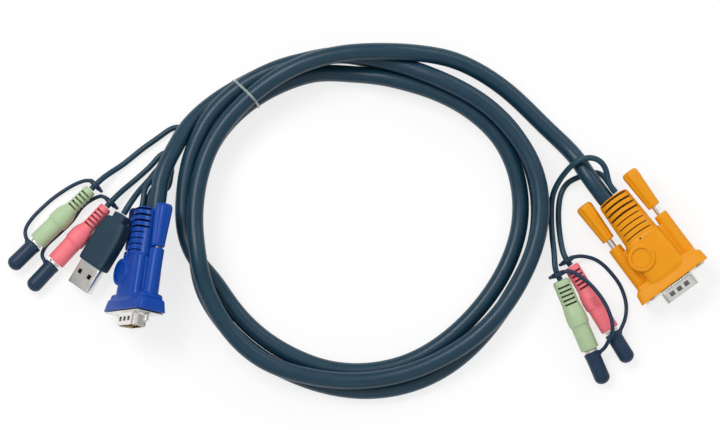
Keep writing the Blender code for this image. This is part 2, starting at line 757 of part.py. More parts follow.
def build_usb_plug(matrix):
    plug = empty("usb_plug", lay, matrix=matrix)
    width, height, length = usb_hood_width, usb_hood_height, usb_hood_length
    rear = -length - usb_collar_length
    step = -length + 0.6 * mm
    sections = [
        chamfered_ring(usb_collar_width, usb_collar_height, rear),
        chamfered_ring(usb_collar_width, usb_collar_height, step),
        chamfered_ring(width * 0.72, height * 0.9, step),
        chamfered_ring(width, height, -length * 0.78),
        chamfered_ring(width, height, 0, usb_chamfer * 0.6),
    ]
    hood = add_object("usb_hood", loft_mesh("usb_hood", sections), "navy_rubber", plug)
    pocket = box_mesh(
        "pocket", usb_shell_width + 2 * gap, usb_shell_height + 2 * gap,
        -usb_shell_seat - gap, 1.0 * mm, 0.8 * mm,
    )
    boolean(hood, add_cutter("usb_pocket", pocket, plug), "DIFFERENCE")
    sleeve = box_mesh(
        "usb_shell", usb_shell_width, usb_shell_height, -usb_shell_seat, usb_shell_reach, 0.6 * mm
    )
    shell = add_object("usb_shell", sleeve, "nickel", plug)
    inside = box_mesh(
        "inside", usb_shell_width - 2 * usb_shell_wall, usb_shell_height - 2 * usb_shell_wall,
        -usb_shell_seat - 1.0 * mm, usb_shell_reach + 1.0 * mm, 0.3 * mm,
    )
    boolean(shell, add_cutter("usb_shell_inside", inside, plug), "DIFFERENCE")
    for label, x in (("left", -usb_window_spacing / 2), ("right", usb_window_spacing / 2)):
        window = box_mesh(
            "window", usb_window, usb_shell_height * 2,
            usb_window_from_hood - usb_window / 2, usb_window_from_hood + usb_window / 2,
        )
        place = (x, usb_shell_height, 0)
        boolean(shell, add_cutter(f"usb_{label}_window", window, plug, place), "DIFFERENCE")
    floor_y = -usb_shell_height / 2 + usb_shell_wall + gap
    tongue_mesh = box_mesh(
        "usb_tongue", usb_shell_width - 2 * usb_shell_wall - 2 * gap, usb_tongue_thickness, -usb_shell_seat,
        usb_shell_reach - 0.6 * mm,
    )
    add_object("usb_tongue", tongue_mesh, "insulator", plug, (0, floor_y + usb_tongue_thickness / 2, 0))
    contact_y = floor_y + usb_tongue_thickness + gap + usb_contact_thickness / 2
    strip_rear = -usb_shell_seat + 1.0 * mm
    strip_front = usb_shell_reach - 2.0 * mm
    for i, x in enumerate(usb_contact_places):
        name = f"usb_contact_{i + 1}"
        strip = box_mesh(name, usb_contact_width, usb_contact_thickness, strip_rear, strip_front)
        add_object(name, strip, "gold", plug, (x, contact_y, 0))


build_usb_plug(aim((-118.0, -23.1, 7.4), -121.3, -7, 27))


# Audio plugs

def plug_body_sections():
    """Sections of an audio plug's moulded body, from the slotted boot to its front face."""
    sides = 12
    boot, bulge, front = plug_boot_diameter / 2, plug_bulge_diameter / 2, plug_front_diameter / 2

    def at(radius, z, groove=0.0):
        return oval_ring(radius, radius, z, sides, 2.0, groove)

    rear = -plug_length
    sections = [at(boot * 0.86, rear), at(boot * 0.97, rear + 0.6 * mm)]
    for i in range(plug_slot_count):
        start = rear + plug_first_slot + i * plug_slot_pitch
        end = start + plug_slot_width
        sections += [at(boot, start), at(boot, start, plug_slot_depth)]
        sections += [at(boot, end, plug_slot_depth), at(boot, end)]
    sections += [
        at(boot * 1.04, -plug_length * 0.62),
        at(bulge, -plug_length * 0.50),
        at(bulge, -plug_length * 0.37),
        at(front, -plug_length * 0.34),
        at(front, -0.5 * mm),
        at(front - 0.5 * mm, 0),
    ]
    return sections


def build_audio_plug(label, colour, matrix, lug_side):
    plug = empty(label + "_plug", lay, matrix=matrix)
    name = label + "_plug_body"
    add_object(name, loft_mesh(name, plug_body_sections()), colour + "_plastic", plug)
    sides = 10
    r, core = jack_diameter / 2, jack_core_diameter / 2
    bore = core + gap
    base = gap
    shoulder = base + collar_length
    end = shoulder + jack_length - gap
    tip_start = end - jack_tip_length
    ring_end = tip_start - jack_band
    ring_start = ring_end - jack_ring_length
    sleeve_end = ring_start - jack_band
    socket_floor = sleeve_end - jack_core_socket
    socket_roof = tip_start + jack_core_socket
    turned(
        label + "_jack_sleeve",
        [
            (0, socket_floor), (bore, socket_floor), (bore, sleeve_end), (r, sleeve_end),
            (r, shoulder), (collar_diameter / 2, shoulder), (collar_diameter / 2, base), (0, base),
        ],
        "nickel", plug, sides=sides,
    )
    half_band = jack_band / 4
    middle_low = (sleeve_end + ring_start) / 2
    middle_high = (ring_end + tip_start) / 2
    flat = r - jack_core_step
    turned(
        label + "_jack_core",
        [
            (0, socket_roof - gap), (core, socket_roof - gap),
            (core, middle_high + half_band), (flat, middle_high + half_band),
            (flat, middle_high - half_band), (core, middle_high - half_band),
            (core, middle_low + half_band), (flat, middle_low + half_band),
            (flat, middle_low - half_band), (core, middle_low - half_band),
            (core, socket_floor + gap), (0, socket_floor + gap),
        ],
        "insulator", plug, sides=sides,
    )
    turned(
        label + "_jack_ring",
        [(bore, ring_end), (r, ring_end), (r, ring_start), (bore, ring_start), (bore, ring_end)],
        "nickel", plug, sides=sides,
    )
    turned(
        label + "_jack_tip",
        [
            (0, end), (0.6 * mm, end), (r - 0.1 * mm, end - 1.4 * mm),
            (r - jack_tip_waist, end - 2.2 * mm), (r, tip_start + 0.3 * mm), (r, tip_start),
            (bore, tip_start), (bore, socket_roof), (0, socket_roof),
        ],
        "nickel", plug, sides=sides,
    )
    build_cap(label, plug, shoulder, lug_side)


def build_cap(label, plug, shoulder, lug_side):
    """Rubber cap that pulls straight off the jack. The tether ends at the lug on its side."""
    axis = empty(label + "_cap_axis", plug, (0, 0, shoulder))
    outer = cap_diameter / 2
    inner = jack_diameter / 2 + gap
    dome_base = cap_length - cap_dome_height
    dome = [(0, cap_length)]
    for angle in (65, 40, 18):
        up = math.radians(angle)
        dome.append((outer * math.cos(up), dome_base + cap_dome_height * math.sin(up)))
    cap = turned(
        label + "_cap",
        dome + [
            (outer, dome_base), (outer, 0.3 * mm + gap), (outer - 0.3 * mm, gap),
            (inner, gap), (inner, cap_length - cap_end_wall), (0, cap_length - cap_end_wall),
        ],
        "navy_rubber", axis, sides=14,
    )
    lug = rod_mesh("lug", lug_diameter, inner + 0.5 * mm, lug_reach, 8)
    holder = add_cutter(label + "_lug", lug, axis, (0, 0, gap + lug_diameter / 2 + 0.3 * mm))
    holder.rotation_euler = (0, math.radians(90 * lug_side), 0)
    boolean(cap, holder, "UNION")


plug_height = plug_bulge_diameter / 2 / mm + 0.05
audio_plugs = {
    "left_green": ("green", aim((-143.2, -12.4, plug_height), -135.3), -1),
    "left_pink": ("pink", aim((-135.0, -21.4, plug_height), -132.4), -1),
    "right_green": ("green", aim((101.5, -60.1, 5.35), -66.6, -6.0), 1),
    "right_pink": ("pink", aim((110.6, -51.5, plug_height), -58.8), 1),
}
for label, (colour, matrix, lug_side) in audio_plugs.items():
    build_audio_plug(label, colour, matrix, lug_side)


# Cords

def end_tube(name, route):
    """A free end of the thick cable, cut to fit the side of the coil."""
    tube = solid_from_curve(cord(name, route, cable_diameter, lay, resolution=3))
    boolean(tube, coil_clearance, "DIFFERENCE")


end_tube("main_cable_blue_end", blue_end_route)
end_tube("main_cable_orange_end", orange_end_route)
cord("left_usb_lead", left_usb_route, usb_lead_diameter, lay)
cord("left_pink_lead", left_pink_route, audio_lead_diameter, lay)
cord("left_green_lead", left_green_route, audio_lead_diameter, lay)
cord("right_green_lead", right_green_route, audio_lead_diameter, lay)
cord("right_pink_lead", right_pink_route, audio_lead_diameter, lay)


def build_tether(label, route):
    """A cap's tether: a thin strap with a ring round the lead behind the plug."""
    matrix = audio_plugs[label][1]
    strap = solid_from_curve(cord(label + "_tether", route, tether_diameter, lay, "navy_rubber", spacing=3.2))
    bore, outer, half = tether_ring_bore / 2, tether_ring_diameter / 2, tether_ring_length / 2
    bm = bmesh.new()
    corners = ((bore, half), (outer, half), (outer, -half), (bore, -half))
    profile = [bm.verts.new((radius, 0, z)) for radius, z in corners]
    for first, second in zip(profile, profile[1:] + profile[:1]):
        bm.edges.new((first, second))
    data = bpy.data.meshes.new(label + "_ring")
    bm.to_mesh(data)
    bm.free()
    ring = add_cutter(label + "_tether_ring", data, lay)
    ring.matrix_local = matrix @ Matrix.Translation((0, 0, -plug_length - tether_ring_offset))
    screw = ring.modifiers.new("turn", "SCREW")
    screw.steps = 12
    screw.render_steps = 12
    screw.use_merge_vertices = True
    screw.merge_threshold = 0.00001
    boolean(strap, ring, "UNION")


build_tether("left_green", left_green_tether_route)
build_tether("left_pink", left_pink_tether_route)
build_tether("right_green", right_green_tether_route)
build_tether("right_pink", right_pink_tether_route)
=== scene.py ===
# KVM cable: a tied coil of thick cable with a blue and an orange video plug, a USB plug
# and four capped audio plugs. Local shapes are in millimetres and become metres when placed.
import math

import bmesh
import bpy
import numpy as np
from mathutils import Matrix, Vector, geometry


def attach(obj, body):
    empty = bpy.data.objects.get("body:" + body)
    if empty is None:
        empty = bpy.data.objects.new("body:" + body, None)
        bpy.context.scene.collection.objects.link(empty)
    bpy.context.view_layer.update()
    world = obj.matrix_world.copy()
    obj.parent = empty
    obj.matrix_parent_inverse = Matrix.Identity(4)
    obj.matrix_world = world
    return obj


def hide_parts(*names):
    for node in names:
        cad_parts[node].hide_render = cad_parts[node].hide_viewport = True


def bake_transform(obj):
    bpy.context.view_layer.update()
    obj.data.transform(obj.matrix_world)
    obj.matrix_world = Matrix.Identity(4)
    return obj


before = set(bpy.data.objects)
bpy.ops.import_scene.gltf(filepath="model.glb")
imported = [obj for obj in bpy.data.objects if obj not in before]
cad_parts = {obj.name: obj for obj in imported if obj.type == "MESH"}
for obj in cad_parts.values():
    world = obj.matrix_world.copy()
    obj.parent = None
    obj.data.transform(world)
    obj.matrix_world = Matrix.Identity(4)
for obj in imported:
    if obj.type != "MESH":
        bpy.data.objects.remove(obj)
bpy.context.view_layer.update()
mm = 0.001
scene = bpy.context.scene
layShift = Vector((1.198, 5.583, 0.0)) * mm  # the whole lay sits this far from the drawn routes


# Objects and shader nodes

def addObject(name, data):
    made = bpy.data.objects.new(name, data)
    scene.collection.objects.link(made)
    return made


def addNode(tree, kind, values=None, **settings):
    # the values go to the node's inputs, by name or by number
    node = tree.nodes.new(kind)
    for name, value in settings.items():
        setattr(node, name, value)
    for name, value in (values or {}).items():
        node.inputs[name].default_value = value
    return node


def joinUp(tree, *wires):
    # each wire is a node, its output, the next node and its input
    for source, output, target, socket in wires:
        tree.links.new(source.outputs[output], target.inputs[socket])


def newPaint(name, values):
    paint = bpy.data.materials.new(name)
    paint.use_nodes = True
    shader = paint.node_tree.nodes["Principled BSDF"]
    for socket, value in values.items():
        shader.inputs[socket].default_value = value
    return paint, paint.node_tree, shader


# Camera and light

cameraSpot = {"elevation": 84.0, "distance": 1.1, "lens": 123.3}
lightPlan = {
    # strength of the surrounding light at the horizon and overhead
    "world": (0.34, 0.74),
    # name, power in watts, size in metres, place in metres, colour
    "lamps": [
        ("keySoftbox", 8.0, (0.7, 0.4), (-0.5, 0.45, 1.05), (1.0, 0.99, 0.97)),
        ("rimSoftbox", 2.6, (0.8, 0.3), (0.6, 0.75, 0.6), (0.93, 0.97, 1.0)),
        ("frontSoftbox", 0.6, (0.7, 0.3), (0.1, -0.9, 0.55), (1.0, 1.0, 1.0)),
    ],
}
floorPlan = {"size": 3.0, "drop": 0.00005, "colour": (0.94, 0.94, 0.945, 1.0), "roughness": 0.9, "glow": 0.75}


def makeCamera():
    lift = math.radians(cameraSpot["elevation"])
    eye = bpy.data.cameras.new("photoCamera")
    eye.lens = cameraSpot["lens"]
    eye.clip_end = 20
    holder = addObject("photoCamera", eye)
    away = Vector((0, -math.cos(lift), math.sin(lift))) * cameraSpot["distance"]
    holder.location = layShift + away
    holder.rotation_euler = (math.pi / 2 - lift, 0, 0)
    scene.camera = holder


def makeFloor():
    bm = bmesh.new()
    bmesh.ops.create_grid(bm, x_segments=1, y_segments=1, size=floorPlan["size"])
    bmesh.ops.translate(bm, vec=(0, 0, -floorPlan["drop"]), verts=bm.verts)
    data = bpy.data.meshes.new("paleFloor")
    bm.to_mesh(data)
    bm.free()
    floor = addObject("paleFloor", data)
    paint, tree, shader = newPaint("paleFloor", {
        "Base Color": floorPlan["colour"], "Roughness": floorPlan["roughness"],
    })
    # what the camera and glossy surfaces see of it glows a little
    glow = addNode(tree, "ShaderNodeEmission", {"Color": (1, 1, 1, 1)})
    rays = addNode(tree, "ShaderNodeLightPath")
    seen = addNode(tree, "ShaderNodeMath", operation="MAXIMUM")
    share = addNode(tree, "ShaderNodeMath", {1: floorPlan["glow"]}, operation="MULTIPLY")
    blend = addNode(tree, "ShaderNodeMixShader")
    joinUp(tree, (rays, "Is Camera Ray", seen, 0), (rays, "Is Glossy Ray", seen, 1), (seen, 0, share, 0),
           (share, 0, blend, "Fac"), (shader, 0, blend, 1), (glow, 0, blend, 2),
           (blend, 0, tree.nodes["Material Output"], "Surface"))
    data.materials.append(paint)


def makeLights():
    world = bpy.data.worlds.new("studio")
    world.use_nodes = True
    tree = world.node_tree
    sky = tree.nodes["Background"]
    sky.inputs["Color"].default_value = (1, 1, 1, 1)
    low, high = lightPlan["world"]
    toward = addNode(tree, "ShaderNodeTexCoord")
    height = addNode(tree, "ShaderNodeSeparateXYZ")
    ramp = addNode(tree, "ShaderNodeMapRange", {"To Min": low, "To Max": high})
    joinUp(tree, (toward, "Generated", height, 0), (height, "Z", ramp, "Value"), (ramp, 0, sky, "Strength"))
    scene.world = world
    for name, power, size, place, colour in lightPlan["lamps"]:
        lamp = bpy.data.lights.new(name, "AREA")
        lamp.shape = "RECTANGLE"
        lamp.size, lamp.size_y = size
        lamp.energy = power
        lamp.color = colour
        holder = addObject(name, lamp)
        holder.location = place
        holder.rotation_euler = (-Vector(place)).to_track_quat("-Z", "Y").to_euler()


makeCamera()
makeFloor()
makeLights()
scene.view_settings.view_transform = "Standard"
print("camera, floor and lights are in place")


# Materials

skinPlan = {
    # how far the blotches move the gloss
    "gloss": 0.22,
    # reach of the shade painted into grooves, openness where it is full and where it ends, colour left in
    # them
    "paintedShadeReach": 0.0016, "paintedShadeOpenness": (0.15, 0.62), "paintedShadeColour": 0.10,
    "grainHeight": 0.00008,
}


# the shared skin: random blotches, grain bumps, and painted shade in narrow grooves and creases
def makeSkinGroup():
    group = bpy.data.node_groups.new("skin", "ShaderNodeTree")
    sockets = group.interface
    sockets.new_socket("Colour", in_out="INPUT", socket_type="NodeSocketColor")
    for name, value in (("Blotch Scale", 120.0), ("Blotch", 0.1), ("Grain Scale", 4000.0), ("Grain", 0.1),
                        ("Roughness", 0.4)):
        sockets.new_socket(name, in_out="INPUT", socket_type="NodeSocketFloat").default_value = value
    for name, kind in (("Colour", "NodeSocketColor"), ("Roughness", "NodeSocketFloat"),
                       ("Normal", "NodeSocketVector")):
        sockets.new_socket(name, in_out="OUTPUT", socket_type=kind)
    given = addNode(group, "NodeGroupInput")
    result = addNode(group, "NodeGroupOutput")
    where = addNode(group, "ShaderNodeTexCoord")
    blotch = addNode(group, "ShaderNodeTexNoise", {"Detail": 3})
    grain = addNode(group, "ShaderNodeTexNoise", {"Detail": 2})
    joinUp(group, (where, "Object", blotch, "Vector"), (given, "Blotch Scale", blotch, "Scale"),
           (where, "Object", grain, "Vector"), (given, "Grain Scale", grain, "Scale"))
    # the blotches lighten and darken the colour by the given share
    centred = addNode(group, "ShaderNodeMath", {1: 0.5}, operation="SUBTRACT")
    strength = addNode(group, "ShaderNodeMath", {2: 1.0}, operation="MULTIPLY_ADD")
    joinUp(group, (blotch, "Fac", centred, 0), (centred, 0, strength, 0), (given, "Blotch", strength, 1))
    # painted shade: narrow grooves, creases and gaps between parts keep less of the colour, by how open the
    # ambient occlusion finds them
    closed, wide = skinPlan["paintedShadeOpenness"]
    openness = addNode(group, "ShaderNodeAmbientOcclusion", {"Distance": skinPlan["paintedShadeReach"]}, samples=8)
    groove = addNode(group, "ShaderNodeMapRange", {
        "From Min": closed, "From Max": wide, "To Min": skinPlan["paintedShadeColour"],
    })
    shade = addNode(group, "ShaderNodeMath", operation="MULTIPLY")
    tint = addNode(group, "ShaderNodeVectorMath", operation="SCALE")
    joinUp(group, (openness, "AO", groove, "Value"), (strength, 0, shade, 0), (groove, 0, shade, 1),
           (given, "Colour", tint, 0), (shade, 0, tint, "Scale"), (tint, 0, result, "Colour"))
    # the blotches move the gloss a little too
    gloss = addNode(group, "ShaderNodeMath", {1: skinPlan["gloss"]}, operation="MULTIPLY_ADD")
    bump = addNode(group, "ShaderNodeBump", {"Distance": skinPlan["grainHeight"]})
    joinUp(group, (centred, 0, gloss, 0), (given, "Roughness", gloss, 2), (gloss, 0, result, "Roughness"),
           (grain, "Fac", bump, "Height"), (given, "Grain", bump, "Strength"),
           (bump, "Normal", result, "Normal"))
    return group


skinGroup = makeSkinGroup()

finishes = {
    # colour, metal, specular, roughness, blotch scale and share, grain scale and strength
    "cableJacket": ((0.008, 0.038, 0.066), 0, 0.32, 0.34, 160, 0.35, 900, 0.35),
    "leadJacket": ((0.010, 0.044, 0.074), 0, 0.32, 0.38, 220, 0.35, 1500, 0.30),
    "capRubber": ((0.009, 0.030, 0.066), 0, 0.32, 0.42, 260, 0.30, 3800, 0.20),
    "navyMoulding": ((0.011, 0.036, 0.062), 0, 0.28, 0.50, 200, 0.25, 5200, 0.45),
    "bluePlastic": ((0.001, 0.052, 0.33), 0, 0.22, 0.33, 140, 0.16, 3600, 0.16),
    "orangePlastic": ((0.76, 0.29, 0.003), 0, 0.22, 0.38, 140, 0.10, 3600, 0.16),
    "greenPlastic": ((0.39, 0.52, 0.31), 0, 0.30, 0.45, 200, 0.08, 4200, 0.18),
    "pinkPlastic": ((0.82, 0.17, 0.21), 0, 0.30, 0.42, 200, 0.08, 4200, 0.18),
    "nickel": ((0.80, 0.79, 0.76), 1, 0.5, 0.22, 300, 0.16, 2600, 0.10),
    # a dark nickel used only as painted shade under the dimples
    "nickelPaintedShade": ((0.16, 0.155, 0.15), 1, 0.5, 0.30, 300, 0.20, 2600, 0.10),
    "goldFlash": ((0.86, 0.66, 0.30), 1, 0.5, 0.22, 300, 0.12, 3000, 0.08),
    "blackInsulator": ((0.012, 0.012, 0.013), 0, 0.3, 0.50, 300, 0.20, 5000, 0.20),
}


def makeFinish(name):
    colour, metal, specular, roughness, blotchScale, blotch, grainScale, grain = finishes[name]
    paint, tree, shader = newPaint(name, {"Metallic": metal, "Specular IOR Level": specular})
    skin = addNode(tree, "ShaderNodeGroup", {
        "Colour": (*colour, 1), "Blotch Scale": blotchScale, "Blotch": blotch, "Grain Scale": grainScale,
        "Grain": grain, "Roughness": roughness,
    }, node_tree=skinGroup)
    joinUp(tree, (skin, "Colour", shader, "Base Color"), (skin, "Roughness", shader, "Roughness"),
           (skin, "Normal", shader, "Normal"))
    return paint


paints = {name: makeFinish(name) for name in finishes}

tiePaint = {
    "roughness": 0.35, "transmission": 0.45, "cloudScale": 500,
    "colours": ((0.30, 0.40, 0.38, 1), (0.48, 0.58, 0.55, 1)),
}


def makeTiePaint():
    paint, tree, shader = newPaint("paleTie", {
        "Roughness": tiePaint["roughness"], "Transmission Weight": tiePaint["transmission"],
    })
    where = addNode(tree, "ShaderNodeTexCoord")
    cloud = addNode(tree, "ShaderNodeTexNoise", {"Scale": tiePaint["cloudScale"]})
    ramp = addNode(tree, "ShaderNodeValToRGB")
    for element, colour in zip(ramp.color_ramp.elements, tiePaint["colours"]):
        element.color = colour
    joinUp(tree, (where, "Object", cloud, "Vector"), (cloud, "Fac", ramp, "Fac"),
           (ramp, "Color", shader, "Base Color"))
    return paint


paints["paleTie"] = makeTiePaint()
print("materials are made")


# Shapes

def solidPiece(name, bm, paint):
    bmesh.ops.remove_doubles(bm, verts=bm.verts, dist=0.0002)
    bmesh.ops.recalc_face_normals(bm, faces=bm.faces)
    data = bpy.data.meshes.new(name)
    bm.to_mesh(data)
    bm.free()
    data.materials.append(paints[paint])
    return addObject(name, data)


def finishedMesh(piece):
    bpy.context.view_layer.update()
    seen = piece.evaluated_get(bpy.context.evaluated_depsgraph_get())
    return bpy.data.meshes.new_from_object(seen)


def bakeModifiers(piece):
    finished = finishedMesh(piece)
    rough = piece.data
    piece.modifiers.clear()
    piece.data = finished
    bpy.data.meshes.remove(rough)


def mouldTogether(piece, voxel, passes):
    # fuses overlapping solids into one skin and softens its inner and outer edges
    remesh = piece.modifiers.new("fuse", "REMESH")
    remesh.mode = "VOXEL"
    remesh.voxel_size = voxel
    soften = piece.modifiers.new("soften", "SMOOTH")
    soften.factor = 0.5
    soften.iterations = passes
    bakeModifiers(piece)


def cutAway(piece, bm):
    cutter = solidPiece(piece.name + "Cutter", bm, "nickel")
    cut = piece.modifiers.new("cut", "BOOLEAN")
    cut.operation = "DIFFERENCE"
    cut.solver = "MANIFOLD"
    cut.object = cutter
    before = len(piece.data.vertices)
    bakeModifiers(piece)
    bpy.data.objects.remove(cutter, do_unlink=True)
    if len(piece.data.vertices) == before:
        print("no cut was made in", piece.name)


def placePiece(piece, spot, body, nodes=(), sharp=40):
    # spot turns the piece's own millimetres into the frame's metres
    piece.data.transform(spot)
    piece.data.shade_smooth()
    piece.data.set_sharp_from_angle(angle=math.radians(sharp))
    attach(piece, body)
    if nodes:
        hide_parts(*nodes)


def addBox(bm, size, centre, bevel=0.0, segments=3):
    made = bmesh.ops.create_cube(bm, size=1.0)
    bmesh.ops.scale(bm, vec=size, verts=made["verts"])
    bmesh.ops.translate(bm, vec=centre, verts=made["verts"])
    if bevel > 0:
        edges = {edge for vert in made["verts"] for edge in vert.link_edges}
        bmesh.ops.bevel(bm, geom=list(edges), offset=bevel, segments=segments, profile=0.5,
                        affect="EDGES", material=-1)


def addRod(bm, diameter, low, high, x=0.0, y=0.0, sides=48, tip=None):
    radius = diameter / 2
    made = bmesh.ops.create_cone(bm, cap_ends=True, segments=sides, radius1=radius,
                                 radius2=radius if tip is None else tip / 2, depth=high - low)
    bmesh.ops.translate(bm, vec=(x, y, (high + low) / 2), verts=made["verts"])
    return made["verts"]


def addSpin(bm, profile, sides=48):
    # a turned solid about Z from (radius, height) pairs
    verts = [bm.verts.new((radius, 0, height)) for radius, height in profile]
    edges = [bm.edges.new(pair) for pair in zip(verts, verts[1:])]
    bmesh.ops.spin(bm, geom=verts + edges, cent=(0, 0, 0), axis=(0, 0, 1), angle=2 * math.pi,
                   steps=sides, use_merge=True)


def addLoft(bm, rings, closed=True):
    # grows a solid from its first ring by extruding its end face to each next ring
    face = bm.faces.new([bm.verts.new(point) for point in rings[0]])
    first = face
    for ring in rings[1:]:
        grown = bmesh.ops.extrude_face_region(bm, geom=[face, *face.edges, *face.verts])
        face = next(part for part in grown["geom"] if isinstance(part, bmesh.types.BMFace))
        for vert, point in zip(face.verts, ring):
            vert.co = point
    if not closed:
        bmesh.ops.delete(bm, geom=[part for part in (first, face) if part.is_valid], context="FACES_ONLY")


def ovalRing(width, height, z, power=2.0, sides=48, shift=(0.0, 0.0)):
    ring = []
    for i in range(sides):
        angle = 2 * math.pi * (i + 0.5) / sides
        c, s = math.cos(angle), math.sin(angle)
        x = shift[0] + width / 2 * math.copysign(abs(c) ** (2 / power), c)
        y = shift[1] + height / 2 * math.copysign(abs(s) ** (2 / power), s)
        ring.append((x, y, z))
    return ring


def smoothRoute(points, step):
    # evenly spaced points on a natural cubic spline through a route's own points
    route = np.array(points, float)
    chords = np.linalg.norm(np.diff(route, axis=0), axis=1)
    at = np.concatenate([[0], np.cumsum(chords)])
    count = len(route)
    system = np.zeros((count, count))
    right = np.zeros_like(route)
    system[0, 0] = system[-1, -1] = 1
    for i in range(1, count - 1):
        before, after = chords[i - 1], chords[i]
        system[i, i - 1:i + 2] = before, 2 * (before + after), after
        right[i] = 6 * ((route[i + 1] - route[i]) / after - (route[i] - route[i - 1]) / before)
    bend = np.linalg.solve(system, right)
    smooth = []
    for t in np.linspace(0, at[-1], max(2, int(round(at[-1] / step))) + 1):
        i = min(int(np.searchsorted(at, t, side="right")) - 1, count - 2)
        h = chords[i]
        a, b = (at[i + 1] - t) / h, (t - at[i]) / h
        smooth.append(a * route[i] + b * route[i + 1]
                      + ((a ** 3 - a) * bend[i] + (b ** 3 - b) * bend[i + 1]) * h * h / 6)
    return np.array(smooth)


def aim(position, heading, pitch=0.0, roll=0.0):
    # a plug's own frame: Z along its heading, X across, Y up, and millimetres to metres
    turn, nose, tilt = (math.radians(angle) for angle in (heading, pitch, roll))
    forward = Vector((math.cos(turn) * math.cos(nose), math.sin(turn) * math.cos(nose), math.sin(nose)))
    side = Vector((-math.sin(turn), math.cos(turn), 0))
    up = forward.cross(side)
    xAxis = side * math.cos(tilt) + up * math.sin(tilt)
    yAxis = up * math.cos(tilt) - side * math.sin(tilt)
    place = Matrix((xAxis, yAxis, forward)).transposed().to_4x4()
    place.translation = Vector(position) * mm + layShift
    return place @ Matrix.Scale(mm, 4)


# Main cable: four strands of one coil, as seen from the camera, then both free ends

mainCable = {
    "diameter": 7.5,
    "length": 1.65,
    "centre": (0.0, -1.8),
    "cameraDistance": 1100.0,
    "lean": 0.105,
    "reach": 7.7,
    "draftStep": 4.0,
    "step": 2.6,
    # from the blue plug to the coil
    "blueEnd": [
        (-89.5, 0.6, 15.8), (-89.35, 1.85, 15.8), (-88.7, 6.6, 15.5), (-88.0, 12.5, 15.0),
        (-85.4, 21.0, 13.4), (-80.4, 31.1, 10.4), (-74.8, 40.2, 7.0), (-68.6, 47.0, 4.6),
    ],
    # angle, radius and height of the coil, clockwise as seen from above
    "turns": [
        (129, 79.6, 3.8), (120, 77.6, 3.8), (110, 75.8, 3.8), (97, 74.5, 3.8), (85, 71.6, 3.9),
        (75, 70.2, 4.0), (60, 72.3, 3.8), (45, 75.5, 3.8), (30, 78.9, 3.8), (10, 80.3, 3.8),
        (-10, 78.5, 3.8), (-25, 75.6, 3.8), (-45, 75.3, 3.8), (-65, 76.6, 3.8), (-90, 76.3, 3.8),
        (-112, 74.5, 3.8), (-130, 73.5, 3.8), (-155, 73.6, 3.8), (-180, 73.9, 3.8), (-210, 74.0, 3.9),
        (-231, 71.6, 8.9), (-255, 68.2, 6.7), (-265, 65.8, 5.6), (-280, 64.9, 8.0), (-300, 66.5, 8.6),
        (-330, 72.2, 6.6), (-360, 71.4, 3.8), (-380, 68.2, 3.8), (-395, 66.4, 3.8), (-410, 66.0, 3.8),
        (-430, 67.1, 3.8), (-450, 68.0, 3.8), (-480, 69.8, 3.8), (-505, 71.8, 3.8), (-515, 72.8, 5.6),
        (-523, 74.9, 9.4), (-535, 77.8, 9.6), (-550, 79.4, 9.8), (-570, 81.7, 11.0), (-591, 79.2, 11.6),
        (-610, 75.4, 11.6), (-625, 74.3, 11.6), (-640, 72.0, 12.0), (-650, 71.6, 13.0), (-660, 72.5, 14.3),
        (-675, 75.5, 13.0), (-690, 78.7, 11.6), (-705, 81.2, 11.6), (-720, 80.5, 11.6), (-740, 76.7, 11.6),
        (-757, 74.4, 11.6), (-775, 72.3, 11.0), (-790, 71.6, 10.8), (-810, 72.0, 10.6), (-830, 74.0, 10.8),
        (-845, 76.3, 11.4), (-860, 76.3, 13.0), (-875, 75.2, 15.0), (-890, 74.0, 15.6), (-910, 73.8, 15.4),
        (-930, 74.3, 14.6), (-951, 73.8, 17.2), (-970, 74.5, 19.2), (-985, 75.1, 19.5), (-1000, 76.7, 18.9),
        (-1010, 79.4, 15.8),
    ],
    # from the coil to the orange plug
    "orangeEnd": [
        (40.6, 68.3, 11.3), (54.3, 62.6, 8.0), (66.9, 54.0, 5.6), (76.8, 44.8, 4.4), (84.0, 37.6, 4.3),
        (91.2, 30.6, 4.6), (96.8, 23.8, 6.4), (100.7, 17.2, 8.8), (103.9, 12.4, 9.7), (108.6, 6.0, 9.8),
        (109.4, 5.0, 9.8),
    ],
}


def seenPoint(angle, radius, height):
    # what stands higher looks larger and further up the picture
    growth = 1 + height / mainCable["cameraDistance"]
    x = mainCable["centre"][0] + radius * math.cos(math.radians(angle))
    y = mainCable["centre"][1] + radius * math.sin(math.radians(angle))
    return (x / growth, y / growth - mainCable["lean"] * height, height)


# rounds, share of each push, of the smoothing and of the pull back to the drawn route
settling = {"rounds": 160, "push": 0.45, "smooth": 0.25, "recall": 0.02}


def settleStrands(path, reach):
    # pushes touching strands apart without letting them sink or stray
    place = path.copy()
    floor = mainCable["diameter"] / 2
    order = np.arange(len(place))
    spacing = np.linalg.norm(path[1] - path[0])
    distant = np.abs(order[:, None] - order[None, :]) > 3 * reach / spacing
    for _ in range(settling["rounds"]):
        apart = place[:, None, :] - place[None, :, :]
        gap = np.linalg.norm(apart, axis=2) + 1e-9
        short = np.where(distant & (gap < reach), reach - gap, 0)
        push = (apart / gap[:, :, None] * short[:, :, None]).sum(axis=1)
        touching = np.maximum(1, (short > 0).sum(axis=1))
        place += settling["push"] * push / touching[:, None]
        relaxed = (place[:-2] + place[2:]) / 2 - place[1:-1]
        drawn = (path[:-2] + path[2:]) / 2 - path[1:-1]
        place[1:-1] += settling["smooth"] * (relaxed - drawn)
        place += settling["recall"] * (path - place)
        place[:3] = path[:3]
        place[-3:] = path[-3:]
        place[:, 2] = np.maximum(place[:, 2], floor)
    return place


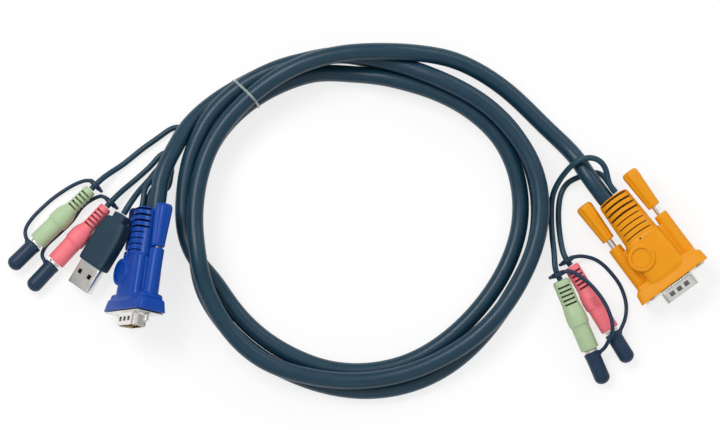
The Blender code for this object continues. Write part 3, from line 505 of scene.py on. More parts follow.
def tubeThrough(name, path, diameter, paint, resolution=6):
    curve = bpy.data.curves.new(name, "CURVE")
    curve.dimensions = "3D"
    curve.bevel_depth = diameter / 2
    curve.bevel_resolution = resolution
    curve.use_fill_caps = True
    spline = curve.splines.new("POLY")
    spline.points.add(len(path) - 1)
    for slot, point in zip(spline.points, path):
        slot.co = (*point, 1.0)
    spline.use_smooth = True
    curve.materials.append(paints[paint])
    return addObject(name, curve)


def inMetres(path):
    return [Vector(point) * mm + layShift for point in path]


def routeLength(path):
    return sum((second - first).length for first, second in zip(path, path[1:]))


coilPoints = [seenPoint(*turn) for turn in mainCable["turns"]]
cableRoute = smoothRoute(mainCable["blueEnd"] + coilPoints + mainCable["orangeEnd"], mainCable["draftStep"])
cableRoute = settleStrands(cableRoute, mainCable["reach"])
cableRoute = smoothRoute(cableRoute, mainCable["step"])
cablePath = inMetres(cableRoute)
mainCord = tubeThrough("mainCable", cablePath, mainCable["diameter"] * mm, "cableJacket", 8)
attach(mainCord, "cable")
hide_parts("main_cable_coil", "main_cable_blue_end", "main_cable_orange_end")
print("main cable is", round(routeLength(cablePath), 3), "m long")


# Thin leads from the small plugs into the video plugs

leadStep = 1.2
leadPlan = {
    # diameter, length in metres, route
    "left_usb_lead": (2.8, 0.059, [
        (-104.4, -0.7, 10.6), (-102.2, 3.0, 10.9), (-99.8, 6.9, 9.6), (-97.2, 10.9, 6.8), (-93.6, 15.7, 3.2),
        (-90.0, 20.4, 1.8), (-86.8, 22.4, 1.6), (-84.4, 20.6, 2.0), (-84.9, 16.8, 3.6), (-88.0, 13.6, 6.2),
        (-91.4, 10.8, 9.2), (-93.0, 6.8, 11.0), (-93.7, 1.9, 11.6),
    ]),
    "left_pink_lead": (2.6, 0.07, [
        (-112.6, 3.2, 4.65), (-109.1, 7.0, 4.65), (-105.9, 10.4, 3.2), (-101.8, 14.2, 1.6),
        (-97.0, 18.4, 1.5), (-92.0, 23.4, 1.5), (-88.8, 26.8, 1.5), (-85.4, 27.8, 1.8), (-83.9, 25.0, 3.0),
        (-85.9, 21.2, 5.2), (-89.0, 17.6, 7.6), (-92.6, 14.0, 10.4), (-94.9, 10.2, 12.4),
        (-95.4, 6.6, 13.2), (-96.0, 2.3, 13.55),
    ]),
    "left_green_lead": (2.6, 0.091, [
        (-119.5, 11.0, 4.65), (-115.8, 14.7, 4.65), (-112.0, 18.0, 3.3), (-106.6, 21.9, 1.6),
        (-97.4, 29.3, 1.5), (-88.2, 36.0, 1.5), (-84.2, 38.6, 1.5), (-80.6, 39.0, 1.6), (-79.4, 36.0, 2.8),
        (-81.2, 31.0, 4.6), (-83.0, 26.0, 6.2), (-83.7, 20.5, 7.2), (-84.2, 14.8, 8.4), (-85.8, 10.6, 9.2),
        (-88.6, 8.8, 9.7), (-90.1, 5.8, 9.9), (-90.8, 1.4, 10.3),
    ]),
    "right_green_lead": (2.6, 0.087, [
        (88.35, -29.7, 8.85), (86.3, -25.0, 9.4), (85.9, -20.0, 8.6), (85.5, -12.4, 5.4), (85.2, -5.1, 2.6),
        (85.2, 1.6, 1.8), (85.9, 8.6, 2.4), (88.0, 13.7, 4.8), (91.2, 18.2, 8.8), (95.9, 22.3, 12.8),
        (101.9, 23.9, 14.0), (106.4, 22.0, 13.8), (108.8, 17.8, 13.2), (110.2, 12.4, 12.6),
        (112.8, 8.6, 12.4),
    ]),
    "right_pink_lead": (2.6, 0.068, [
        (93.35, -23.0, 4.65), (90.65, -18.6, 4.65), (89.5, -14.0, 3.3), (88.8, -8.1, 1.7), (88.4, -2.3, 1.5),
        (88.7, 4.8, 1.5), (90.2, 10.7, 1.5), (93.0, 14.4, 1.5), (96.8, 16.5, 1.5), (101.0, 18.0, 1.7),
        (104.6, 18.6, 3.0), (107.8, 16.9, 6.2), (110.3, 13.1, 8.6), (113.3, 9.1, 9.05),
    ]),
}

for node, (thick, length, route) in leadPlan.items():
    path = inMetres(smoothRoute(route, leadStep))
    lead = tubeThrough(node.title().replace("_", ""), path, thick * mm, "leadJacket", 5)
    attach(lead, "cable")
    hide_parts(node)
    print(node, "is", round(routeLength(path), 3), "m long")


# Tie round the four strands

tie = {"angle": 133.5, "slack": 0.15, "thickness": 0.5, "width": 1.1, "edge": 0.12, "facets": 48}


def strandCrossings(angle):
    # where the strands cross the upright plane through the coil's middle at this angle
    across = Vector((math.cos(math.radians(angle)), math.sin(math.radians(angle)), 0))
    along = Vector((-across.y, across.x, 0))
    found = []
    for first, second in zip(cableRoute, cableRoute[1:]):
        a, b = along.dot(first), along.dot(second)
        if a * b <= 0 and across.dot(first) > 0 and a != b:
            point = Vector(first).lerp(Vector(second), a / (a - b))
            found.append((across.dot(point), point.z))
    return across, along, found


def makeTie():
    across, along, strands = strandCrossings(tie["angle"])
    radius = mainCable["diameter"] / 2 + tie["slack"]
    cloud = []
    for x, z in strands:
        for i in range(tie["facets"]):
            turn = 2 * math.pi * i / tie["facets"]
            height = max(z + radius * math.sin(turn), 0.05)
            cloud.append(Vector((x + radius * math.cos(turn), height)))
    outline = [cloud[i] for i in geometry.convex_hull_2d(cloud)]
    bm = bmesh.new()
    half = tie["width"] / 2
    verts = [bm.verts.new(across * point.x + Vector((0, 0, point.y)) - along * half) for point in outline]
    edges = [bm.edges.new(pair) for pair in zip(verts, verts[1:] + verts[:1])]
    grown = bmesh.ops.extrude_edge_only(bm, edges=edges)
    moved = [part for part in grown["geom"] if isinstance(part, bmesh.types.BMVert)]
    bmesh.ops.translate(bm, vec=along * tie["width"], verts=moved)
    piece = solidPiece("cableTie", bm, "paleTie")
    wall = piece.modifiers.new("wall", "SOLIDIFY")
    wall.thickness = tie["thickness"]
    wall.offset = 0.0
    rounded = piece.modifiers.new("rounded", "BEVEL")
    rounded.width = tie["edge"]
    rounded.segments = 2
    rounded.limit_method = "ANGLE"
    bakeModifiers(piece)
    print("tie goes round", len(strands), "strands")
    place = Matrix.Translation(layShift) @ Matrix.Scale(mm, 4)
    placePiece(piece, place, "cable", ["cable_tie"])


makeTie()
print("cords and tie are laid")


# Video plugs

hood = {
    "length": 46.7, "screwPitch": 24.99, "voxel": 0.28,
    # width and height at both ends; then share of the length and share of the width at each ring
    "bootRear": (14.7, 12.2), "bootFront": (16.7, 12.9), "bootPower": 2.6,
    "bootRings": [(0.0, 0.90), (0.012, 0.95), (0.035, 0.99), (0.07, 1.0), (0.5, 1.0), (1.0, 1.0)],
    "bowReach": 0.3,
    "plateauWidth": 19.0, "plateauHeight": 13.6, "plateauLength": 24.9, "plateauFront": 4.6,
    # end that a ring is measured from, distance from it, how much narrower and lower, and squareness
    "plateauRings": [
        ("rear", 0.0, 2.0, 0.9, 4.5), ("rear", 0.5, 1.6, 0.2, 4.5), ("rear", 9.0, 0.4, 0.0, 5.0),
        ("front", -1.2, -0.3, 0.0, 5.5), ("front", 0.0, 0.6, 0.6, 5.5), ("front", 1.6, 3.0, 2.4, 5.5),
    ],
    "webHeight": 5.0, "lobeDiameter": 6.2, "lobeLength": 27.9, "lobeTip": 0.5, "lobeTaper": 0.9,
    "shoulderLength": 8.0, "shoulderWidth": 30.6, "shoulderHeight": 11.0, "shoulderEdge": 1.6,
    # width and height of the face; then distance behind it, and how much narrower and lower
    "flange": (35.5, 14.0), "flangePower": 10.0,
    "flangeRings": [(6.4, 4.6, 4.0), (6.0, 3.9, 3.4), (4.9, 1.4, 1.8), (4.6, 1.1, 1.6), (0.8, 0.3, 0.2),
                    (0.3, 0.0, 0.0), (0.0, 0.0, 0.0)],
    "slots": 8, "slotPitch": 2.65, "firstSlot": 2.0, "slotBow": 0.9, "slotTop": 9.0,
    # width and floor height of the rear four slots, then of the others
    "deepSlots": 4, "deepSlot": (0.95, 2.6), "thinSlot": (0.5, 4.4),
    "pocket": (18.0, 9.4, 7.6), "block": (17.6, 9.0, 6.8),
    "badge": 12.0, "badgeX": -5.2, "badgeZ": -17.0, "badgeHeight": 0.9, "badgeRim": 1.5, "badgeDepth": 0.6,
    # a small gate mark beside the last slot
    "dot": 0.9, "dotX": -0.6, "dotZ": 0.6, "dotFloor": 5.8,
    "bore": 3.44,
}
screwPlaces = (-hood["screwPitch"] / 2, hood["screwPitch"] / 2)


def standUp(bm, verts, x, z):
    # turns a rod from the plug's axis to its upright and moves it into place
    bmesh.ops.rotate(bm, cent=(0, 0, 0), matrix=Matrix.Rotation(-math.pi / 2, 3, "X"), verts=verts)
    bmesh.ops.translate(bm, vec=(x, 0, z), verts=verts)


def hoodSolids():
    bm = bmesh.new()
    rear, front = -hood["length"], -hood["plateauLength"] + 2.0
    rings = []
    for share, pinch in hood["bootRings"]:
        width = hood["bootRear"][0] + (hood["bootFront"][0] - hood["bootRear"][0]) * share
        height = hood["bootRear"][1] + (hood["bootFront"][1] - hood["bootRear"][1]) * share
        ring = ovalRing(width * pinch, height * pinch, rear + (front - rear) * share, hood["bootPower"])
        # the rear end bows out towards the cable
        bow = hood["slotBow"] * max(0.0, 1 - share / hood["bowReach"])
        rings.append([(x, y, z + bow * (2 * x / width) ** 2) for x, y, z in ring])
    addLoft(bm, rings)
    wide, high = hood["plateauWidth"], hood["plateauHeight"]
    ends = {"rear": -hood["plateauLength"], "front": -hood["plateauFront"]}
    addLoft(bm, [ovalRing(wide - slim, high - flat, ends[end] + behind, power)
                 for end, behind, slim, flat, power in hood["plateauRings"]])
    start = ends["rear"]
    addBox(bm, (hood["screwPitch"], hood["webHeight"], start + hood["length"]), (0, 0, start / 2 - 0.5), 0.3)
    tail = -hood["lobeLength"]
    for x in screwPlaces:
        addRod(bm, hood["lobeDiameter"], tail + hood["lobeTip"], -1.0, x)
        addRod(bm, hood["lobeDiameter"] - hood["lobeTaper"], tail, tail + hood["lobeTip"], x,
               tip=hood["lobeDiameter"])
    addBox(bm, (hood["shoulderWidth"], hood["shoulderHeight"], hood["shoulderLength"] - 1.0),
           (0, 0, -(hood["shoulderLength"] + 1.0) / 2), hood["shoulderEdge"], 5)
    width, height = hood["flange"]
    addLoft(bm, [ovalRing(width - slim, height - flat, -behind, hood["flangePower"], 64)
                 for behind, slim, flat in hood["flangeRings"]])
    boss = addRod(bm, hood["badge"], 4.0, high / 2 + hood["badgeHeight"])
    standUp(bm, boss, hood["badgeX"], hood["badgeZ"])
    return bm


def addSlot(bm, z, wide, floor, top):
    # a slot across the wide face that bows towards the cable
    half = hood["bootFront"][0] / 2
    rings = []
    for share in np.linspace(-1, 1, 25):
        middle = z - hood["slotBow"] * (1 - share * share)
        low, high = middle - wide / 2, middle + wide / 2
        x = share * half
        rings.append([(x, floor, low), (x, top, low), (x, top, high), (x, floor, high)])
    addLoft(bm, rings)


def hoodCuts():
    bm = bmesh.new()
    first = -hood["length"] + hood["firstSlot"]
    for i in range(hood["slots"]):
        wide, floor = hood["deepSlot"] if i < hood["deepSlots"] else hood["thinSlot"]
        for side in (-1, 1):
            addSlot(bm, first + i * hood["slotPitch"], wide, side * floor, side * hood["slotTop"])
    top = hood["plateauHeight"] / 2 + hood["badgeHeight"]
    recess = addRod(bm, hood["badge"] - 2 * hood["badgeRim"], top - hood["badgeDepth"], top + 1.0)
    standUp(bm, recess, hood["badgeX"], hood["badgeZ"])
    dot = addRod(bm, hood["dot"], hood["dotFloor"], 8.0, sides=24)
    standUp(bm, dot, hood["dotX"], -hood["plateauLength"] + hood["dotZ"])
    for x in screwPlaces:
        addRod(bm, hood["bore"], -hood["lobeLength"] - 2, 2, x, sides=32)
    addBox(bm, hood["pocket"], (0, 0, 0.6 - hood["pocket"][2] / 2), 0.3)
    return bm


shell = {
    "width": 16.92, "height": 8.36, "corner": 2.6, "slant": 10.0, "wall": 0.45,
    "plate": (30.8, 12.5, 0.6), "plateCorner": 1.1, "plateEdge": 0.12, "gap": 0.3, "reach": 6.0,
    # places across the shell, the cut through its wall, and the dark bed under it, which paints shade into
    # the dimple
    "dimples": (-3.8, 0.0, 3.8), "dimpleZ": 2.6, "dimple": (2.3, 1.6, 2.0), "shadeBed": (2.7, 0.3, 2.4),
    "shadeBedDepth": 0.62,
    "pinPitch": 2.29, "rowPitch": 1.98, "pin": 0.76, "pinReach": 4.6, "pinTip": 0.5, "insert": 0.75,
}


def shellRing(z, inset=0.0):
    # the D-shaped outline, wide side up
    high = shell["height"] / 2 - inset
    lean = math.tan(math.radians(shell["slant"])) * high
    half = shell["width"] / 2 - inset - lean
    radius = shell["corner"] - inset
    corners = (
        (half + lean - radius, high - radius, 0, 90), (-half - lean + radius, high - radius, 90, 180),
        (-half + lean + radius, -high + radius, 180, 270), (half - lean - radius, -high + radius, 270, 360),
    )
    ring = []
    for x, y, start, end in corners:
        for i in range(9):
            angle = math.radians(start + (end - start) * i / 8)
            ring.append((x + radius * math.cos(angle), y + radius * math.sin(angle), z))
    return ring


def makeShell(side, spot):
    front = shell["gap"] + shell["plate"][2]
    tip = shell["gap"] + shell["reach"]
    bm = bmesh.new()
    addBox(bm, shell["plate"], (0, 0, shell["gap"] + shell["plate"][2] / 2), shell["plateEdge"], 2)
    upright = [edge for edge in bm.edges if abs(edge.verts[0].co.z - edge.verts[1].co.z) > 0.2]
    bmesh.ops.bevel(bm, geom=upright, offset=shell["plateCorner"], segments=5, profile=0.5,
                    affect="EDGES", material=-1)
    plate = solidPiece(side + "FacePlate", bm, "nickel")
    bm = bmesh.new()
    addLoft(bm, [shellRing(-1.0, 0.2), shellRing(tip, 0.2)])
    for x in screwPlaces:
        addRod(bm, hood["bore"], -1.0, 3.0, x, sides=32)
    cutAway(plate, bm)
    placePiece(plate, spot, "cable", [side + "_video_shell"], 30)
    bm = bmesh.new()
    addLoft(bm, [
        shellRing(shell["gap"] + 0.05, -0.15), shellRing(front, -0.55), shellRing(front + 0.25, -0.2),
        shellRing(front + 0.7, 0.0), shellRing(tip - 0.5, 0.0), shellRing(tip - 0.15, 0.08),
        shellRing(tip, 0.25),
    ], closed=False)
    skirt = solidPiece(side + "MetalShell", bm, "nickel")
    wall = skirt.modifiers.new("wall", "SOLIDIFY")
    wall.thickness = shell["wall"]
    wall.offset = -1.0
    bakeModifiers(skirt)
    bm = bmesh.new()
    # dark beds under the dimple cuts, painted shade for the hollows of the dimples
    shadeBeds = bmesh.new()
    for x in shell["dimples"]:
        for y in (-1, 1):
            addBox(bm, shell["dimple"], (x, y * shell["height"] / 2, front + shell["dimpleZ"]), 0.2, 3)
            deep = y * (shell["height"] / 2 - shell["shadeBedDepth"])
            addBox(shadeBeds, shell["shadeBed"], (x, deep, front + shell["dimpleZ"]), 0.1, 2)
    cutAway(skirt, bm)
    placePiece(skirt, spot, "cable", (), 30)
    shadeBed = solidPiece(side + "DimpleShadeBeds", shadeBeds, "nickelPaintedShade")
    placePiece(shadeBed, spot, "cable", (), 30)


def makeContacts(side, spot):
    face = shell["gap"] + shell["plate"][2]
    bm = bmesh.new()
    addBox(bm, hood["block"], (0, 0, -hood["block"][2] / 2), 0.2, 2)
    inset = shell["insert"]
    addLoft(bm, [shellRing(-1.0, inset), shellRing(face - 0.15, inset), shellRing(face, inset + 0.15)])
    block = solidPiece(side + "ContactBlock", bm, "blackInsulator")
    placePiece(block, spot, "cable", [side + "_contact_block"], 30)
    bm = bmesh.new()
    for row in range(3):
        for column in range(5):
            shift = shell["pinPitch"] * (0.25 if row == 1 else -0.25)
            x = (column - 2) * shell["pinPitch"] + shift
            y = (1 - row) * shell["rowPitch"]
            end = face + shell["pinReach"]
            addRod(bm, shell["pin"], face - 0.5, end - shell["pinTip"], x, y, 16)
            addRod(bm, shell["pin"], end - shell["pinTip"], end, x, y, 16, tip=shell["pin"] * 0.35)
    pins = solidPiece(side + "Pins", bm, "goldFlash")
    placePiece(pins, spot, "cable", (), 30)


thumbscrew = {
    "length": 19.2, "rear": 8.0, "front": 5.9, "grooves": 6, "grooveDepth": 0.34, "grooveShare": 0.17,
    "blueGap": 0.6, "orangeGap": 4.1, "thread": 2.84, "shank": 2.2, "threadLength": 8.0, "pitch": 0.635,
    "reach": 4.6, "threadDepth": 0.28, "knobBore": 11.0,
    # share of the length, share of the diameter and share of the groove depth at each ring
    "rings": [
        (0.0, 0.50, 0.0), (0.008, 0.72, 0.0), (0.03, 0.88, 0.3), (0.07, 0.97, 0.8), (0.12, 1.0, 1.0),
        (0.5, 1.0, 1.0), (0.88, 1.0, 1.0), (0.95, 1.0, 0.5), (0.985, 0.98, 0.1), (1.0, 0.90, 0.0),
    ],
}


def knobRing(diameter, z, groove):
    ring = []
    sides = 96
    for i in range(sides):
        angle = 2 * math.pi * i / sides
        away = (i * thumbscrew["grooves"] / sides + 0.5) % 1 - 0.5
        sink = groove * math.exp(-(away / thumbscrew["grooveShare"]) ** 4)
        radius = diameter / 2 - sink
        ring.append((radius * math.cos(angle), radius * math.sin(angle), z))
    return ring


def makeThumbscrew(side, hand, x, gap, spot):
    front = -hood["lobeLength"] - gap
    rear = front - thumbscrew["length"]
    groove = thumbscrew["grooveDepth"]
    wide, slim = thumbscrew["rear"], thumbscrew["front"]
    bm = bmesh.new()
    rings = []
    for share, pinch, sink in thumbscrew["rings"]:
        diameter = (wide + (slim - wide) * share) * pinch
        rings.append(knobRing(diameter, rear + thumbscrew["length"] * share, groove * sink))
    addLoft(bm, rings)
    knob = solidPiece(f"{side}{hand.title()}Knob", bm, side + "Plastic")
    bm = bmesh.new()
    addRod(bm, hood["bore"], front - thumbscrew["knobBore"], front + 1.0, sides=32)
    cutAway(knob, bm)
    away = spot @ Matrix.Translation((x, 0, 0))
    placePiece(knob, away, f"{side}_{hand}_grip", [f"{side}_{hand}_knob"], 35)
    tip = thumbscrew["reach"] - gap + thumbscrew["blueGap"]
    outer, inner = thumbscrew["thread"] / 2, thumbscrew["thread"] / 2 - thumbscrew["threadDepth"]
    profile = [(0, tip), (inner - 0.2, tip), (inner, tip - 0.25)]
    z = tip - 0.25
    while z > tip - thumbscrew["threadLength"]:
        profile += [(outer, z - thumbscrew["pitch"] * 0.4), (inner, z - thumbscrew["pitch"] * 0.9)]
        z -= thumbscrew["pitch"]
    shank = thumbscrew["shank"] / 2
    tail = front - 10.7
    profile += [(shank, z - 0.3), (shank, front + 5.4), (outer, front + 5.0), (outer, tail), (0, tail)]
    bm = bmesh.new()
    addSpin(bm, profile, 32)
    rod = solidPiece(f"{side}{hand.title()}Screw", bm, "nickel")
    placePiece(rod, away, f"{side}_{hand}_shaft", [f"{side}_{hand}_screw"], 30)


def makeVideoPlug(side, spot, gap):
    body = solidPiece(side + "Hood", hoodSolids(), side + "Plastic")
    mouldTogether(body, hood["voxel"], 4)
    cutAway(body, hoodCuts())
    placePiece(body, spot, "cable", [side + "_hood"], 42)
    makeShell(side, spot)
    makeContacts(side, spot)
    for hand, x in zip(("left", "right"), screwPlaces):
        makeThumbscrew(side, hand, x, gap, spot)
    print(side, "video plug has", len(body.data.polygons), "faces in its hood")


videoPlugs = {
    # place, heading, pitch and roll, gap between the lobes and the knobs
    "blue": ((-98.6, -44.8, 18.9), -98.15, 5.2, 58, thumbscrew["blueGap"]),
    "orange": ((138.8, -30.6, 10.35), -53.8, 0, 11, thumbscrew["orangeGap"]),
}

for side, (*stance, gap) in videoPlugs.items():
    makeVideoPlug(side, aim(*stance), gap)


# USB plug

usb = {
    "length": 22.8, "width": 14.6, "height": 7.4, "collar": 3.0, "collarWidth": 7.1, "collarHeight": 6.0,
    "shellWidth": 12.0, "shellHeight": 4.5, "wall": 0.35, "reach": 11.8, "seat": 6.0,
    "window": 2.1, "windowX": 2.9, "windowZ": 5.1, "voxel": 0.2,
    # share of the width and height, share of the length behind the front and what is added, squareness
    "rings": [
        (0.70, 0.86, 1.0, 0.0, 5), (0.78, 0.94, 1.0, -0.7, 5.5), (0.90, 1.0, 0.84, 0.0, 6),
        (0.99, 1.0, 0.66, 0.0, 6.5), (1.0, 1.0, 0.45, 0.0, 6.5), (0.99, 1.0, 0.0, 1.2, 6.5),
        (0.97, 0.96, 0.0, 0.4, 6.5), (0.93, 0.90, 0.0, 0.0, 6.5),
    ],
    "stance": ((-118.0, -23.1, 7.4), -121.3, -7, 27),
}


def makeUsbPlug(spot):
    rear = -usb["length"] - usb["collar"]
    wide, high, long = usb["width"], usb["height"], usb["length"]
    bm = bmesh.new()
    addLoft(bm, [ovalRing(wide * slim, high * flat, -long * share - more, power)
                 for slim, flat, share, more, power in usb["rings"]])
    addLoft(bm, [
        ovalRing(usb["collarWidth"] * 0.9, usb["collarHeight"] * 0.9, rear, 4),
        ovalRing(usb["collarWidth"], usb["collarHeight"], rear + 0.35, 4),
        ovalRing(usb["collarWidth"], usb["collarHeight"], -long + 1.0, 4),
    ])
    body = solidPiece("usbHood", bm, "navyMoulding")
    mouldTogether(body, usb["voxel"], 2)
    bm = bmesh.new()
    seat = (usb["shellWidth"] + 0.5, usb["shellHeight"] + 0.5, usb["seat"] + 1.3)
    addBox(bm, seat, (0, 0, 0.35 - usb["seat"] / 2), 0.5)
    cutAway(body, bm)
    placePiece(body, spot, "cable", ["usb_hood"], 42)
    bm = bmesh.new()
    span = usb["seat"] + usb["reach"]
    middle = (usb["reach"] - usb["seat"]) / 2
    addBox(bm, (usb["shellWidth"], usb["shellHeight"], span), (0, 0, middle), 0.55, 4)
    sleeve = solidPiece("usbShell", bm, "nickel")
    bm = bmesh.new()
    inner = (usb["shellWidth"] - 2 * usb["wall"], usb["shellHeight"] - 2 * usb["wall"], span + 4)
    addBox(bm, inner, (0, 0, middle), 0.25, 3)
    cutAway(sleeve, bm)
    bm = bmesh.new()
    for x in (-usb["windowX"], usb["windowX"]):
        addBox(bm, (usb["window"], 14, usb["window"]), (x, 0, usb["windowZ"]), 0.12, 2)
    # a stop slot on the upper face and the seam on the lower one
    addBox(bm, (1.1, 3.0, 0.5), (0, usb["shellHeight"] / 2 + 1.3, 2.6), 0.1, 2)
    addBox(bm, (0.08, 3.0, usb["reach"] * 2), (0.9, -usb["shellHeight"] / 2 - 1.35, 0))
    cutAway(sleeve, bm)
    placePiece(sleeve, spot, "cable", ["usb_shell"], 30)


makeUsbPlug(aim(*usb["stance"]))
print("USB plug is made")


# Audio plugs with their caps and tethers

audio = {
    "length": 33.0, "front": 8.2, "bulge": 9.2, "height": 4.65,
    "slots": 5, "slotPitch": 2.0, "slotWidth": 0.85, "slotDepth": 2.1, "notchDepth": 0.9, "firstSlot": 3.0,
    "ribs": 5, "ribPitch": 0.9, "rib": (5.0, 0.5, 0.22), "ribX": -1.0,
    # width and depth of the left pink plug's thumb panel, its shares of the length, and its place across
    "panel": (4.4, 0.5), "panelLength": 0.24, "panelBack": 0.185, "panelX": 0.4,
    # share of the length from the front, share from boot to bulge (None on the front part), extra diameter
    "rings": [
        (0.0, None, -1.2), (0.005, None, -0.3), (0.018, None, 0.0), (0.30, None, -0.1), (0.345, None, 0.0),
        (0.352, None, 0.24), (0.36, 1.0, -0.2), (0.375, 1.0, 0.0), (0.49, 1.0, 0.0), (0.515, 1.0, -0.3),
        (0.56, 0.70, 0.0), (0.615, 0.22, 0.0), (0.66, 0.08, 0.0), (0.72, 0.0, 0.0), (0.965, 0.0, -0.1),
        (0.985, 0.0, -0.4), (1.0, 0.0, -1.2),
    ],
}
capSize = {
    "diameter": 7.0, "length": 15.2, "wall": 1.2, "bore": 4.1, "axisZ": 1.3, "dome": 0.85,
    "lug": 2.2, "lugZ": 1.7, "lugReach": 4.0,
}


def makeAudioBody(label, colour, boot, spot):
    rings = []
    for share, mix, extra in audio["rings"]:
        if mix is None:
            wide = high = audio["front"] + extra
        else:
            wide, high = (size + (audio["bulge"] - size) * mix + extra for size in boot)
        rings.append(ovalRing(wide, high, -audio["length"] * share, 2.2, 64))
    bm = bmesh.new()
    addLoft(bm, rings)
    body = solidPiece(label + "PlugBody", bm, colour + "Plastic")
    bm = bmesh.new()
    wide, high = boot
    sunk, notch = audio["slotDepth"], audio["notchDepth"]
    slot, sideSlot = (wide * 0.72, sunk + 1, audio["slotWidth"]), (notch + 1, high * 0.4, audio["slotWidth"])
    for i in range(audio["slots"]):
        z = -audio["length"] + audio["firstSlot"] + i * audio["slotPitch"]
        for side in (-1, 1):
            addBox(bm, slot, (0, side * (high + 1 - sunk) / 2, z), 0.12, 2)
            addBox(bm, sideSlot, (side * (wide + 1 - notch) / 2, 0, z), 0.12, 2)
    if label == "left_pink":
        # a shallow thumb panel on the front part
        panel = (*audio["panel"], audio["length"] * audio["panelLength"])
        z = -audio["length"] * audio["panelBack"]
        addBox(bm, panel, (audio["panelX"], audio["front"] / 2 + 0.1, z), 0.1, 2)
    if label == "right_pink":
        for i in range(audio["ribs"]):
            z = -audio["length"] * 0.49 + i * audio["ribPitch"]
            addBox(bm, audio["rib"], (audio["ribX"], audio["bulge"] / 2 - 0.05, z), 0.05, 1)
    cutAway(body, bm)
    placePiece(body, spot, "cable", [label + "_plug_body"], 38)


collar = {"teeth": 14, "outer": 3.0, "inner": 2.65, "ends": (0.32, 1.28)}


def makeCollar(label, spot):
    # the ring of small metal teeth between the body and the cap
    bm = bmesh.new()
    corners = collar["teeth"] * 4
    rings = []
    for z in collar["ends"]:
        ring = []
        for i in range(corners):
            angle = 2 * math.pi * i / corners
            radius = collar["outer"] if i % 4 < 2 else collar["inner"]
            ring.append((radius * math.cos(angle), radius * math.sin(angle), z))
        rings.append(ring)
    addLoft(bm, rings)
    piece = solidPiece(label + "Collar", bm, "nickel")
    placePiece(piece, spot, "cable", (), 20)


def makeCap(label, side, spot):
    outer, bore = capSize["diameter"] / 2, capSize["bore"] / 2
    long = capSize["length"]
    bm = bmesh.new()
    rise = outer * capSize["dome"]
    dome = [(outer * math.cos(math.radians(a)), long - rise + rise * math.sin(math.radians(a)))
            for a in (75, 60, 45, 30, 15, 0)]
    # down the outside, round the rolled rim and up the bore
    profile = [(0, long)] + dome + [
        (outer - 0.05, long * 0.4), (outer - 0.02, 2.4), (outer + 0.12, 1.6), (outer + 0.12, 0.7),
        (outer - 0.15, 0.35), (bore + 0.3, 0.3), (bore, 0.6), (bore, long - capSize["wall"]),
        (0, long - capSize["wall"]),
    ]
    addSpin(bm, profile, 56)
    cap = solidPiece(label + "Cap", bm, "capRubber")
    bm = bmesh.new()
    lug = addRod(bm, capSize["lug"] * 1.3, outer - 0.6, capSize["lugReach"], sides=24,
                 tip=capSize["lug"] * 0.85)
    bmesh.ops.rotate(bm, cent=(0, 0, 0), matrix=Matrix.Rotation(side * math.pi / 2, 3, "Y"), verts=lug)
    bmesh.ops.translate(bm, vec=(0, 0, capSize["lugZ"]), verts=lug)
    stub = solidPiece(label + "CapLug", bm, "capRubber")
    away = spot @ Matrix.Translation((0, 0, capSize["axisZ"]))
    placePiece(cap, away, label + "_cover", [label + "_cap"], 35)
    placePiece(stub, away, label + "_cover", (), 35)


tetherPlan = {
    # length in metres, route from the ring on the lead to just short of the cap's lug
    "left_green": (0.045, [
        (-119.4, 14.7, 4.6), (-121.4, 15.0, 4.0), (-124.4, 14.5, 2.9), (-128.2, 13.0, 1.6),
        (-132.4, 10.5, 1.2), (-137.0, 7.2, 1.2), (-141.0, 3.6, 1.3), (-144.8, -0.3, 1.7),
        (-147.2, -3.6, 2.5), (-148.5, -6.6, 3.6), (-148.6, -8.9, 4.4),
    ]),
    "left_pink": (0.046, [
        (-112.7, 6.9, 4.6), (-114.6, 7.9, 4.0), (-116.8, 7.8, 2.6), (-119.2, 6.9, 1.3), (-122.3, 4.9, 0.95),
        (-125.4, 1.4, 0.95), (-127.8, -2.2, 0.95), (-132.0, -6.6, 0.95), (-136.4, -10.7, 0.95),
        (-139.5, -13.8, 1.2), (-140.8, -16.3, 2.2), (-141.0, -18.6, 3.6),
    ]),
    "right_green": (0.049, [
        (89.8, -26.3, 9.1), (92.4, -26.0, 9.6), (96.4, -27.8, 9.9), (101.0, -31.4, 10.4),
        (104.9, -35.9, 11.0), (108.1, -41.0, 11.6), (110.1, -46.2, 12.0), (110.9, -50.6, 12.0),
        (110.4, -54.2, 11.0), (109.0, -57.4, 8.6), (107.8, -59.6, 6.2),
    ]),
    "right_pink": (0.05, [
        (94.2, -19.4, 4.6), (97.0, -18.8, 3.6), (100.4, -18.9, 2.4), (104.4, -20.0, 1.5),
        (108.3, -22.6, 1.2), (112.1, -26.7, 1.2), (115.0, -30.7, 1.2), (117.0, -35.2, 1.3),
        (118.0, -39.7, 1.6), (117.9, -44.1, 2.3), (117.0, -47.6, 3.4), (116.0, -49.8, 4.3),
    ]),
}
tether = {
    "diameter": 1.75, "step": 0.7, "ring": 5.9, "bore": 3.0, "behind": 2.9, "thickness": 2.2, "voxel": 0.15,
}


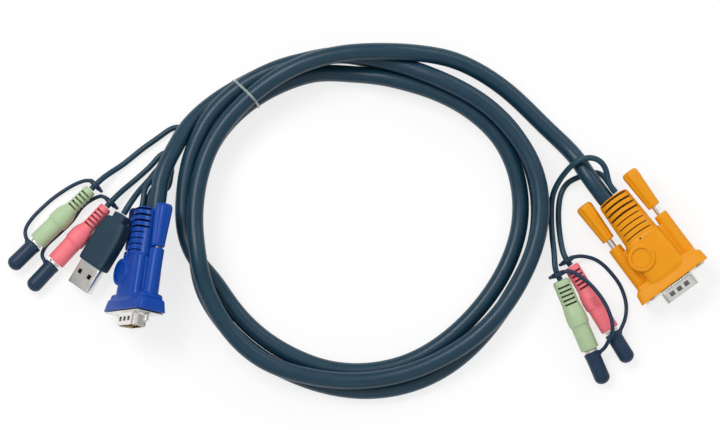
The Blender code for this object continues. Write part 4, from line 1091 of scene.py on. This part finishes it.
def makeTether(label, side, spot):
    length, route = tetherPlan[label]
    lug = spot @ Vector((side * capSize["diameter"] * 0.42, 0, capSize["axisZ"] + capSize["lugZ"]))
    route = route + [tuple((lug - layShift) / mm)]
    path = inMetres(smoothRoute(route, tether["step"]))
    strap = tubeThrough(label + "Tether", path, tether["diameter"] * mm, "capRubber", 5)
    data = finishedMesh(strap)
    bpy.data.objects.remove(strap, do_unlink=True)
    bm = bmesh.new()
    bm.from_mesh(data)
    bmesh.ops.remove_doubles(bm, verts=bm.verts, dist=0.000005)
    bmesh.ops.recalc_face_normals(bm, faces=bm.faces)
    bm.to_mesh(data)
    bm.free()
    data.shade_smooth()
    strap = addObject(label + "Tether", data)
    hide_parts(label + "_tether")
    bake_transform(strap)
    # the eyelet round the lead, with its small pull tab
    ringSpot = spot @ Matrix.Translation((0, 0, -audio["length"] - tether["behind"]))
    start = ringSpot.inverted() @ path[0]
    toward = math.atan2(start.y, start.x)
    outer, bore, half = tether["ring"] / 2, tether["bore"] / 2, tether["thickness"] / 2
    bm = bmesh.new()
    profile = [(bore, half * 0.6), (bore + 0.25, half), (outer - 0.5, half), (outer - 0.1, half * 0.6),
               (outer - 0.1, -half * 0.6), (outer - 0.5, -half), (bore + 0.25, -half), (bore, -half * 0.6),
               (bore, half * 0.6)]
    addSpin(bm, profile, 40)
    tab = addRod(bm, 2.0, outer - 0.6, outer + 1.5, sides=20, tip=1.2)
    root = addRod(bm, 2.3, outer - 0.8, outer + 0.5, sides=20, tip=1.7)
    for verts, turn in ((tab, toward + math.pi), (root, toward)):
        bmesh.ops.rotate(bm, cent=(0, 0, 0), matrix=Matrix.Rotation(math.pi / 2, 3, "Y"), verts=verts)
        bmesh.ops.rotate(bm, cent=(0, 0, 0), matrix=Matrix.Rotation(turn, 3, "Z"), verts=verts)
    eyelet = solidPiece(label + "Eyelet", bm, "capRubber")
    mouldTogether(eyelet, tether["voxel"], 2)
    placePiece(eyelet, ringSpot, "cable", (), 60)
    print(label, "tether is", round(routeLength(path), 3), "m long")


audioPlugs = {
    # colour, width and height of the boot, place, side of the cap's lug
    "left_green": ("green", (5.9, 6.2), aim((-143.2, -12.4, audio["height"]), -135.3), -1),
    "left_pink": ("pink", (5.9, 6.2), aim((-135.0, -21.4, audio["height"]), -132.4), -1),
    "right_green": ("green", (7.8, 6.2), aim((101.5, -60.1, 5.35), -66.6, -6.0), 1),
    "right_pink": ("pink", (7.0, 7.0), aim((110.6, -51.5, audio["height"]), -58.8), 1),
}

for label, (colour, boot, spot, side) in audioPlugs.items():
    makeAudioBody(label, colour, boot, spot)
    makeCollar(label, spot)
    makeCap(label, side, spot)
    makeTether(label, side, spot)
print("audio plugs are made")


# Small CAD pieces that keep their own shape

kept = {
    "nickel": ["jack_sleeve", "jack_ring", "jack_tip"],
    "blackInsulator": ["jack_core", "usb_tongue"],
    "goldFlash": ["usb_contact"],
}
for name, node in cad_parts.items():
    for paint, words in kept.items():
        if any(word in name for word in words):
            node.data.materials.clear()
            node.data.materials.append(paints[paint])

print("everything is dressed")
